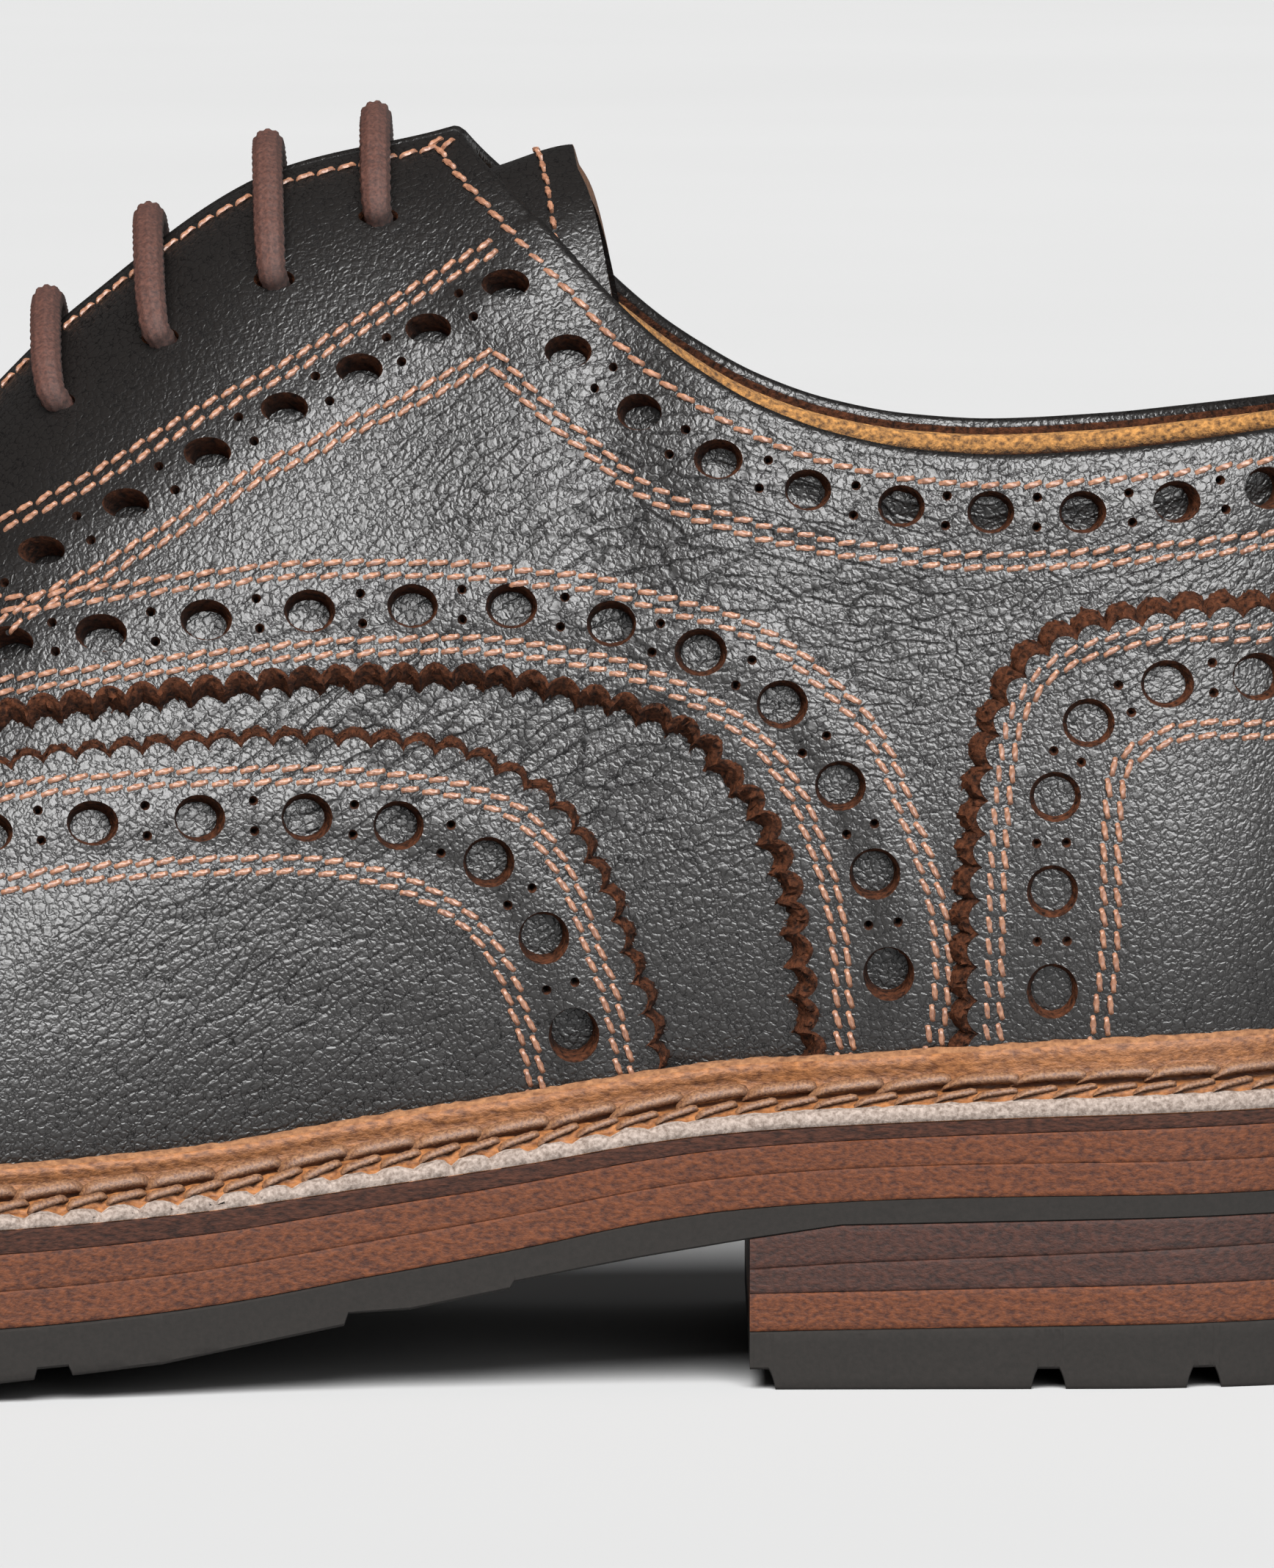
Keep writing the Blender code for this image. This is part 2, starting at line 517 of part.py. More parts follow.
tread = straight(OUTSOLE_BOTTOM)
tread_xs = sorted(set(sole_xs + [HEEL_LENGTH]) | {x * ALONG for x, _ in OUTSOLE_BOTTOM if 76 < x < 226})
slab("outsole", tread_xs, lambda x: stack_bottom(x) - half, lambda x: tread(x) + (half if x <= HEEL_LENGTH else 0), rubber)

heel_xs = [x for x in sole_xs if x < HEEL_LENGTH - 2] + [HEEL_LENGTH - 0.5]
levels = [tread] + [straight(table) for table in LIFT_BOTTOMS]
for i in range(3):
    slab(f"heel_lift_{i + 1}", heel_xs, lambda x: levels[i](x) - half, lambda x: levels[i + 1](x) + half, stacked)

NOTCH_BEVEL = 0.3
notches = [(HEEL_LENGTH * share - NOTCH_WIDTH / 2, HEEL_LENGTH * share + NOTCH_WIDTH / 2) for share in NOTCHES]
notches.append((HEEL_LENGTH - NOTCH_WIDTH, HEEL_LENGTH + NOTCH_WIDTH))


def top_piece_bottom(x):
    return max(NOTCH_DEPTH * min(1, max(0, min(x - start, end - x) / NOTCH_BEVEL)) for start, end in notches)


corners = {x for start, end in notches for x in (start, start + NOTCH_BEVEL, end - NOTCH_BEVEL, end)
           if x < HEEL_LENGTH - 0.5}
slab("heel_top_piece", sorted(set(heel_xs) | corners), lambda x: levels[3](x) - half, top_piece_bottom, rubber)

# Lace: straight bars over the slot, joined in turn below each facing.
ABOVE = OVERLAY_GAP + OVERLAY + LACE / 2 + GAP
BELOW = WALL + LACE_BELOW / 2 + 2 * GAP
IN_HOLE = EYELET / 2 - 0.75
path = []
side = LATERAL
for i in range(len(EYELETS)):
    (u, near), (_, far) = eyelet_at(i, side), eyelet_at(i, -side)
    down = [(-WALL * 0.64, IN_HOLE), (ABOVE * 0.57, IN_HOLE), (ABOVE - 0.3, LACE / 2 - 0.2)]
    path += [(last_point(u, side, near, lift), radius) for lift, radius in down]
    path += [(last_point(u, side, t, ABOVE), LACE / 2) for t in np.linspace(near + (1 - near) * 0.16, 1, 4)]
    side = -side
    path += [(last_point(u, side, t, ABOVE), LACE / 2) for t in np.linspace(1, far + (1 - far) * 0.16, 4)[1:]]
    path += [(last_point(u, side, far, lift), radius) for lift, radius in reversed(down)]
    if i + 1 < len(EYELETS):
        next_u, next_t = eyelet_at(i + 1, side)
        path += [(last_point(u + (next_u - u) * share, side, far + (next_t - far) * share, -BELOW), LACE_BELOW / 2)
                 for share in (0.12, 0.5, 0.88)]

curve = bpy.data.curves.new("lace", "CURVE")
curve.dimensions = "3D"
curve.bevel_depth = 0.001
curve.bevel_resolution = 2
curve.use_fill_caps = True
spline = curve.splines.new("POLY")
spline.points.add(len(path) - 1)
for point, (place, radius) in zip(spline.points, path):
    point.co = (*((place.reshape(3) - CENTRE) / 1000), 1)
    point.radius = radius
curve.materials.append(cord)
bpy.context.scene.collection.objects.link(bpy.data.objects.new("lace", curve))
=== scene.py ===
"""Looks of a brogue derby shoe: leathers, lining, punching, gimped edges, stitches, welt, sole edge and lace.

Lengths are millimetres from the back of the sole, x to the toe, y to the outer side and z up, until make()
turns them into the frame's metres. Places read off the photograph are pixels of its 1736 x 2137 frame.
"""

import math

import bpy
import numpy as np
from mathutils import Matrix, Vector, kdtree
from mathutils.geometry import delaunay_2d_cdt


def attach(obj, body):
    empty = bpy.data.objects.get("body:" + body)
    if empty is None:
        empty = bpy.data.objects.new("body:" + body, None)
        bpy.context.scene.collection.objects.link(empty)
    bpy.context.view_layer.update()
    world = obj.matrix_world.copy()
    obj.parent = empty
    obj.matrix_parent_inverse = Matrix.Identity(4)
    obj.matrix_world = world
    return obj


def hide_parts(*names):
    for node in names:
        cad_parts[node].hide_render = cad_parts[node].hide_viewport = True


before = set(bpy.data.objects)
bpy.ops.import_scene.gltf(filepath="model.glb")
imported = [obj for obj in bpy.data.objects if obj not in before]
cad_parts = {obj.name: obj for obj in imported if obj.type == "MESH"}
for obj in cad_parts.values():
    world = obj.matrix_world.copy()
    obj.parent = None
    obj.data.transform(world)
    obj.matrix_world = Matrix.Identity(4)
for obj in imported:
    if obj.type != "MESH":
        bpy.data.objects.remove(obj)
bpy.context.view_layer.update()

SOLE_LENGTH, BALL_WIDTH, HEEL_LENGTH = 308.0, 109.4, 76.0
HEEL_LEDGE, TOE_LEDGE, SIDE_LEDGE = 9.0, 10.0, 10.2
RIM, DARK_LAYER, STACK_LAYER = 7.4, 2.3, 3.6
NOTCH_DEPTH, NOTCH_WIDTH = 2.0, 2.6
WALL, OVERLAY, INSOLE = 2.2, 1.2, 3.2
THROAT_FRONT, SLOT_WIDTH = 160.0, 10.0
EYELET, LACE, LACE_BELOW = 4.0, 3.1, 1.9
TONGUE, TONGUE_DROP = 1.9, 21.0
WING_PEAK = 11.0
GAP, OVERLAY_GAP = 0.3, 0.45
LATERAL, MEDIAL = 1, -1
STITCH = 2.07  # from one stitch to the next
ROW_GAP = 1.3  # between the two rows of a double seam
TOOTH = 3.2  # of a gimped edge
SKIN = OVERLAY_GAP + OVERLAY  # height of a panel's grain over the vamp's
COUNTER_SKIN = SKIN + OVERLAY_GAP + OVERLAY
FOOT = -1.6  # height of a panel's foot over the welt's rim, which hides it
BAND_HOLE, FACING_HOLE, PINHOLE = 2.5, 2.3, 0.48  # radii of the punching
PINHOLE_SPREAD = 1.45  # from the middle of the band
SEAM_THREAD, SEAM_LENGTH = 0.28, 2.05  # radius of the thread and length of one stitch
FIBRE = 0.035  # radius of a loose fibre
UNROLLED = np.array([300.0, 80.0])  # millimetres, roughly, to one share of u and of t

# Sections of the last: place along the shoe, middle, half width at the feather line, height of the ridge,
# half width of the collar, bulge on the outer and the inner side, height of the bulge, reach and drop of the
# shoulder.
LAST = [
    (9, 0.0, 27.8, 110.0, 20.0, 7.5, 7.5, 22, 1.5, 28),
    (20, 0.0, 28.0, 110.0, 22.5, 7.0, 7.0, 24, 1.5, 27),
    (50, 0.3, 28.2, 110.0, 25.0, 6.0, 5.5, 28, 1.5, 25),
    (66, 0.8, 27.9, 116.0, 22.0, 6.5, 6.0, 31, 4.0, 22),
    (80, 1.5, 27.4, 124.0, 13.0, 7.5, 8.0, 34, 13.0, 15),
    (92, 2.0, 27.2, 124.0, 0.0, 8.0, 9.5, 35, 25.0, 3),
    (107, 2.3, 27.9, 120.3, 0.0, 9.0, 11.0, 36, 23.0, 0),
    (121, 2.3, 29.6, 117.0, 0.0, 9.5, 11.5, 36, 22.5, 0),
    (141, 1.8, 34.7, 103.2, 0.0, 8.5, 11.0, 32, 25.0, 0),
    (158, 1.0, 39.2, 86.5, 0.0, 7.5, 9.5, 27, 28.0, 0),
    (180, 0.2, 43.0, 70.5, 0.0, 7.2, 7.5, 23, 30.0, 0),
    (210, 0.0, 44.5, 59.5, 0.0, 7.0, 7.0, 20, 31.0, 0),
    (240, -0.8, 43.5, 53.8, 0.0, 6.5, 6.5, 17, 29.0, 0),
    (270, -2.5, 41.7, 50.5, 0.0, 6.0, 6.0, 15, 26.0, 0),
    (298, -5.0, 39.7, 48.5, 0.0, 5.0, 5.0, 14, 24.0, 0),
]
SEAT = [(0, 27.7), (24, 27.2), (47, 26.6), (67, 25.8), (78.6, 25.0), (86.5, 24.0), (97, 22.2), (113, 20.0),
        (129, 18.0), (148, 16.8), (165, 16.2), (185, 15.9), (205, 16.0), (230, 16.7), (255, 18.3),
        (280, 20.8), (308, 24.5)]
OUTSOLE_BOTTOM = [(0, 17.4), (24.6, 16.9), (66.6, 16.1), (76, 14.7), (86.3, 13.0), (98.5, 10.7),
                  (98.9, 10.0), (108.6, 8.1), (114.6, 7.8), (115.0, 6.6), (124.9, 4.7), (132.6, 3.3),
                  (141.2, 2.5), (141.6, 3.4), (144.6, 3.2), (144.9, 2.2), (148.5, 1.9), (158, 0.8),
                  (170, 0.0), (225, 0.0), (240, 0.9), (255, 2.2), (280, 5.0), (308, 9.0)]
LIFT_BOTTOMS = [[(0, 14.6), (24.6, 14.0), (66.6, 12.4), (76, 11.8)],
                [(0, 10.9), (24.6, 10.4), (66.6, 9.6), (76, 9.4)],
                [(0, 6.8), (24.6, 6.5), (66.6, 5.9), (76, 5.7)]]
RIM_SHARE = [(0, 1), (24, 1), (47, 0.96), (67, 0.87), (97, 0.89), (113, 0.87), (129, 0.8), (148, 0.78),
             (308, 0.78)]
DARK_SHARE = [(0, 0.61), (67, 0.63), (148, 1), (308, 1)]
UPPER_SHARE = [(0, 0.92), (25, 0.92), (67, 0.76), (148, 1), (308, 1)]
LOWER_SHARE = [(0, 0.92), (67, 0.89), (148, 1), (308, 1)]
LEDGE_SHARE = [(0, 0.84), (80, 0.86), (120, 0.92), (170, 1), (308, 1)]
NOTCHES = [0.21, 0.41, 0.61]
TOPLINE = [(0, 95.5), (10, 94.6), (24.5, 92.3), (31, 91.4), (39, 90.5), (51, 89.9), (59, 90.4), (67, 91.9),
           (74.6, 94.6), (82.6, 99.4), (89, 104.6), (93, 108.5), (98.6, 114.2), (103, 118.6), (107, 124),
           (120, 150)]
EYELETS = [(111.7, 112.4), (121.8, 106.5), (132.7, 100.8), (142.6, 94.4), (152.8, 88.3)]


def smooth(table):
    """A curve through the table's points that never overshoots them."""
    xs, ys = np.array(table, float).T
    step, slope = np.diff(xs), np.diff(ys) / np.diff(xs)
    tangent = np.concatenate([slope[:1], np.zeros(len(xs) - 2), slope[-1:]])
    for i in range(1, len(xs) - 1):
        if slope[i - 1] * slope[i] > 0:
            a, b = 2 * step[i] + step[i - 1], step[i] + 2 * step[i - 1]
            tangent[i] = (a + b) / (a / slope[i - 1] + b / slope[i])

    def curve(x):
        x = np.clip(x, xs[0], xs[-1])
        i = np.clip(np.searchsorted(xs, x) - 1, 0, len(xs) - 2)
        t = (x - xs[i]) / step[i]
        return (ys[i] * (1 + 2 * t) * (1 - t) ** 2 + tangent[i] * step[i] * t * (1 - t) ** 2
                + ys[i + 1] * t * t * (3 - 2 * t) + tangent[i + 1] * step[i] * t * t * (t - 1))

    return curve


def straight(table):
    xs, ys = np.array(table, float).T
    return lambda x: np.interp(x, xs, ys)


def unit(vectors):
    return vectors / np.linalg.norm(vectors, axis=-1, keepdims=True)


def run_along(points):
    """Distance from the start of a line, at each of its points."""
    return np.concatenate([[0], np.cumsum(np.linalg.norm(np.diff(points, axis=0), axis=1))])


def at_marks(marks, run, table):
    """Rows of a table that belongs to a line, read at marks along its run."""
    return np.stack([np.interp(marks, run, column) for column in table.T], -1)


def tree_of(points):
    tree = kdtree.KDTree(len(points))
    for i, p in enumerate(points):
        tree.insert(p, i)
    tree.balance()
    return tree


middle, half_width, ridge, collar, bulge_out, bulge_in, bulge_height, shoulder, drop = [
    smooth([(row[0], row[k]) for row in LAST]) for k in range(1, 10)]
seat, topline = smooth(SEAT), smooth(TOPLINE)
rim_share, ledge_share = smooth(RIM_SHARE), smooth(LEDGE_SHARE)
dark_share, upper_share, lower_share = smooth(DARK_SHARE), smooth(UPPER_SHARE), smooth(LOWER_SHARE)
HEEL_ROUND, TOE_ROUND = 33, 95


def rim_height(x):
    return RIM * rim_share(x)


def dark_bottom(x):
    return seat(x) - DARK_LAYER * dark_share(x)


def stack_split(x):
    return dark_bottom(x) - STACK_LAYER * upper_share(x)


def stack_bottom(x):
    return stack_split(x) - STACK_LAYER * lower_share(x)


def rounded(x, start, end, heel_round, toe_round):
    """Share of the half width left at x, where an outline rounds off to its two ends."""
    heel = np.clip((start + heel_round - x) / heel_round, 0, 1)
    toe = np.clip((x - end + toe_round) / toe_round, 0, 1)
    return (1 - heel ** 2.1) ** (1 / 2.1) * (1 - toe ** 2.3) ** (1 / 2.3)


FEATHER_START, FEATHER_END = HEEL_LEDGE, SOLE_LENGTH - TOE_LEDGE


def share_at(x):
    """Share of the way round one side at which the feather line is at x."""
    share = (np.asarray(x, float) - FEATHER_START) / (FEATHER_END - FEATHER_START)
    return np.arccos(np.clip(1 - 2 * share, -1, 1)) / math.pi


def feather(u, side):
    x = FEATHER_START + (FEATHER_END - FEATHER_START) * (1 - np.cos(math.pi * u)) / 2
    half = half_width(x) * rounded(x, FEATHER_START, FEATHER_END, HEEL_ROUND, TOE_ROUND - TOE_LEDGE)
    return x, middle(x) + side * half


def sole_edge(u, side):
    x = SOLE_LENGTH * (1 - np.cos(math.pi * u)) / 2
    inner = np.clip(x, FEATHER_START, FEATHER_END)
    ends = rounded(x, 0.0, SOLE_LENGTH, HEEL_ROUND + HEEL_LEDGE - 1, TOE_ROUND)
    return x, middle(inner) + side * (half_width(inner) + SIDE_LEDGE * ledge_share(x)) * ends


around = np.linspace(0, 1, 400)
SIDES = max(sole_edge(around, LATERAL)[1]), min(sole_edge(around, MEDIAL)[1])
CENTRE = np.array([SOLE_LENGTH / 2, sum(SIDES) / 2, 0.0])


def last_raw(u, side, t):
    """Point of the last: u from the heel to the toe, t from the feather line to the ridge."""
    x, y = feather(u, side)
    heel = np.clip((50 - x) / 43, 0, None)
    toe = np.clip((x - 210) / 88, 0, None)
    axis = x + 23 * heel ** 2 - 42 * toe ** 2
    away = np.stack([x - axis, y - middle(axis)], -1)
    reach = np.linalg.norm(away, axis=-1)
    away = away / reach[..., None]
    low = seat(x) + GAP
    bulge = bulge_out(x) if side > 0 else bulge_in(x)
    radii = (reach, reach + bulge, collar(x) + shoulder(x), collar(x))
    heights = (low, low + bulge_height(x), ridge(x) - drop(x), ridge(x))
    weights = ((1 - t) ** 3, 3 * t * (1 - t) ** 2, 3 * t * t * (1 - t), t ** 3)
    radius = sum(w * r for w, r in zip(weights, radii))
    z = sum(w * h for w, h in zip(weights, heights))
    return np.stack([axis + away[..., 0] * radius, middle(axis) + away[..., 1] * radius, z], -1)


def outward(u, side, t):
    e = 2e-4
    along = last_raw(np.clip(u + e, 0, 1), side, t) - last_raw(np.clip(u - e, 0, 1), side, t)
    up = last_raw(u, side, np.clip(t + e, 0, 1)) - last_raw(u, side, np.clip(t - e, 0, 1))
    out = -side * np.cross(along, up)
    return out / np.maximum(np.linalg.norm(out, axis=-1, keepdims=True), 1e-12)


def last_point(u, side, t, lift=0.0):
    """Point of the last, raised outwards by lift."""
    u, t = np.broadcast_arrays(np.asarray(u, float), np.asarray(t, float))
    out = outward(u, side, t)
    both = unit(out + outward(u, -side, t) + (0, 0, 1e-6))
    on_ridge = (t > 1 - 1e-9) & (collar(feather(u, side)[0]) < 1e-6)
    shared = on_ridge | (u < 1e-6) | (u > 1 - 1e-6)
    return last_raw(u, side, t) + np.where(shared[..., None], both, out) * np.asarray(lift, float)[..., None]


def on_last(uv, side=LATERAL):
    return last_raw(uv[:, 0], side, uv[:, 1])


def share_where(u, side, test):
    """The t up to which test(point) holds all the way from the feather line, for each u."""
    u = np.atleast_1d(np.asarray(u, float))
    ts = np.linspace(0, 1, 401)
    over = ~test(last_raw(u[:, None], side, ts[None, :]))
    over[:, -1] = True
    first = np.argmax(over, axis=1)
    low, high = ts[np.maximum(first - 1, 0)], ts[first]
    for _ in range(25):
        mid = (low + high) / 2
        inside = test(last_raw(u, side, mid))
        low, high = np.where(inside, mid, low), np.where(inside, high, mid)
    return high


def upper_top(u, side=LATERAL):
    """Where the upper ends: at the topline, at the edge of the lacing slot, or at the ridge."""
    u = np.atleast_1d(np.asarray(u, float))
    line = share_where(u, side, lambda p: p[..., 2] < topline(p[..., 0]))
    slot = share_where(u, side, lambda p: side * (p[..., 1] - middle(p[..., 0])) > SLOT_WIDTH / 2)
    x = feather(u, side)[0]
    top = np.where(x < THROAT_FRONT - 0.01, np.minimum(line, np.where(x > 90, slot, 1.0)), 1.0)
    return np.where(top > 1 - 1e-6, 1.0, top)


def above_rim(u, over=0.0):
    return share_where(u, LATERAL, lambda p: p[..., 2] < seat(p[..., 0]) + rim_height(p[..., 0]) + over)


# Camera: level with the shoe's outer side, five degrees above it.
PICTURE = (1736, 2137)
FINE = 14.0  # pixels to the millimetre at the target
DISTANCE, TILT = 1500.0, math.radians(5)
TARGET = np.array([86.5, 35.0, 59.1])
LOOK = np.array([0, -math.cos(TILT), -math.sin(TILT)])
RIGHT, UPWARD = np.array([-1.0, 0, 0]), np.array([0, -math.sin(TILT), math.cos(TILT)])
EYE = TARGET - DISTANCE * LOOK


def seen_at(points):
    """Pixel at which the camera sees each point."""
    away = points - EYE
    depth = away @ LOOK
    return np.stack([PICTURE[0] / 2 + FINE * DISTANCE * (away @ RIGHT) / depth,
                     PICTURE[1] / 2 - FINE * DISTANCE * (away @ UPWARD) / depth], -1)


# A first guess for on_shoe(): the outer side in even steps, with the pixel of each.
guess_u, guess_t = np.meshgrid(np.linspace(0.03, 0.97, 260), np.linspace(0.02, 0.99, 120), indexing="ij")
guess_seen = seen_at(last_raw(guess_u, LATERAL, guess_t))
facing = (outward(guess_u, LATERAL, guess_t) @ -LOOK) > 0.02
guess_u, guess_t, guess_seen = guess_u[facing], guess_t[facing], guess_seen[facing]


def on_shoe(pixels, lift=0.0):
    """Shares (u, t) of the outer side at which a surface raised by lift is seen at each pixel."""
    pixels = np.asarray(pixels, float)
    found = [np.argmin(((guess_seen - p) ** 2).sum(1)) for p in pixels]
    uv = np.stack([guess_u[found], guess_t[found]], -1)
    e = 1e-4

    def seen(u, t):
        return seen_at(last_point(u, LATERAL, t, lift))

    for _ in range(12):
        u, t = uv.T
        here = seen(u, t)
        du, dt = (seen(u + e, t) - here) / e, (seen(u, t - e) - here) / -e
        miss = pixels - here
        det = du[:, 0] * dt[:, 1] - du[:, 1] * dt[:, 0]
        det = np.where(np.abs(det) < 1e-3, 1e-3, det)
        step = np.stack([(miss[:, 0] * dt[:, 1] - miss[:, 1] * dt[:, 0]) / det,
                         (du[:, 0] * miss[:, 1] - du[:, 1] * miss[:, 0]) / det], -1)
        uv = np.clip(uv + np.clip(step, -0.02, 0.02), 1e-4, 1 - 1e-4)
    return uv


def nearest(points, uv, side=LATERAL):
    """Shares of the surface nearest to each point, starting from uv."""
    uv = np.array(uv, float)
    e = 1e-4
    for _ in range(5):
        u, t = uv[:, 0], uv[:, 1]
        here = last_raw(u, side, t)
        after, before = np.clip(u + e, 0, 1), np.clip(u - e, 0, 1)
        du = (last_raw(after, side, t) - last_raw(before, side, t)) / (after - before)[:, None]
        dt = (last_raw(u, side, t + e) - last_raw(u, side, t - e)) / (2 * e)
        miss = points - here
        a, b, c = (du * du).sum(1), (du * dt).sum(1), (dt * dt).sum(1)
        p, q = (du * miss).sum(1), (dt * miss).sum(1)
        det = np.maximum(a * c - b * b, 1e-6)
        uv = uv + np.clip(np.stack([(c * p - b * q) / det, (a * q - b * p) / det], -1), -0.02, 0.02)
        uv = np.clip(uv, 0, 1)
    return uv


def through(points, per=14):
    """Smooth line through shares (u, t)."""
    points = np.asarray(points, float)
    scaled = points * UNROLLED
    ends = np.concatenate([[2 * scaled[0] - scaled[1]], scaled, [2 * scaled[-1] - scaled[-2]]])
    knots = np.concatenate([[0], np.cumsum(np.linalg.norm(np.diff(ends, axis=0), axis=1) ** 0.5)])
    line = []
    for i in range(1, len(ends) - 2):
        k0, k1, k2, k3 = knots[i - 1:i + 3]
        x = np.linspace(k1, k2, per, endpoint=False)[:, None]
        p0, p1, p2, p3 = ends[i - 1:i + 3]
        a1 = (k1 - x) / (k1 - k0) * p0 + (x - k0) / (k1 - k0) * p1
        a2 = (k2 - x) / (k2 - k1) * p1 + (x - k1) / (k2 - k1) * p2
        a3 = (k3 - x) / (k3 - k2) * p2 + (x - k2) / (k3 - k2) * p3
        b1 = (k2 - x) / (k2 - k0) * a1 + (x - k0) / (k2 - k0) * a2
        b2 = (k3 - x) / (k3 - k1) * a2 + (x - k1) / (k3 - k1) * a3
        line.append((k2 - x) / (k2 - k1) * b1 + (x - k1) / (k2 - k1) * b2)
    return np.concatenate(line + [scaled[-1:]]) / UNROLLED


def spaced(uv, pitch, side=LATERAL, whole=False):
    """The line in even steps of about pitch millimetres; whole keeps the pitch exact and drops the rest."""
    run = run_along(on_last(uv, side))
    if whole:
        marks = np.arange(0, run[-1], pitch)
    else:
        marks = np.linspace(0, run[-1], max(2, int(round(run[-1] / pitch)) + 1))
    return at_marks(marks, run, uv)


def frames(uv, side=LATERAL, lift=0.0):
    """Points of a line on the shoe, with its direction, the way across it to the left, and outwards."""
    lift = np.broadcast_to(np.asarray(lift, float), len(uv))
    points = last_point(uv[:, 0], side, uv[:, 1], lift)
    along = np.gradient(points, axis=0)
    out = outward(uv[:, 0], side, uv[:, 1])
    along = unit(along - (along * out).sum(1, keepdims=True) * out)
    return points, along, np.cross(out, along), out


def beside(uv, distance):
    """The line moved sideways over the surface; distance is positive to the left of its direction."""
    points, _, left, _ = frames(uv)
    return nearest(points + left * np.broadcast_to(distance, len(uv))[:, None], uv)


def doubled(line, way):
    """A row of stitches and the second row beside it, to the left where way is 1, to the right where -1."""
    return [line, beside(line, way * ROW_GAP)]


def at_height(x, z):
    """Shares of the outer side at places x along the shoe and z above the floor."""
    u = share_at(np.atleast_1d(np.asarray(x, float)))
    z = np.broadcast_to(np.asarray(z, float), len(u))
    return np.stack([u, [share_where(a, LATERAL, lambda p: p[..., 2] < b)[0] for a, b in zip(u, z)]], -1)


# Finishes.
def linear(code):
    """Linear colour of an sRGB hex value."""
    parts = [int(code[i:i + 2], 16) / 255 for i in (1, 3, 5)]
    return (*[c / 12.92 if c <= 0.04045 else ((c + 0.055) / 1.055) ** 2.4 for c in parts], 1.0)


def node(tree, kind, settings=None, **links):
    """Adds a node: settings are its own properties, links go to inputs by name, or by number as i0, i1."""
    made = tree.nodes.new(kind)
    for name, value in (settings or {}).items():
        setattr(made, name, value)
    for name, value in links.items():
        key = int(name[1:]) if name[0] == "i" and name[1:].isdigit() else name.replace("_", " ")
        socket = made.inputs[key]
        if isinstance(value, bpy.types.NodeSocket):
            tree.links.new(value, socket)
        else:
            socket.default_value = value
    return made


def finish_of(name, **sockets):
    """New material with its node tree and its one principled shader, whose sockets are set."""
    made = bpy.data.materials.new(name)
    made.use_nodes = True
    tree = made.node_tree
    shader = next(n for n in tree.nodes if n.type == "BSDF_PRINCIPLED")
    for key, value in sockets.items():
        shader.inputs[key.replace("_", " ")].default_value = value
    return made, tree, shader


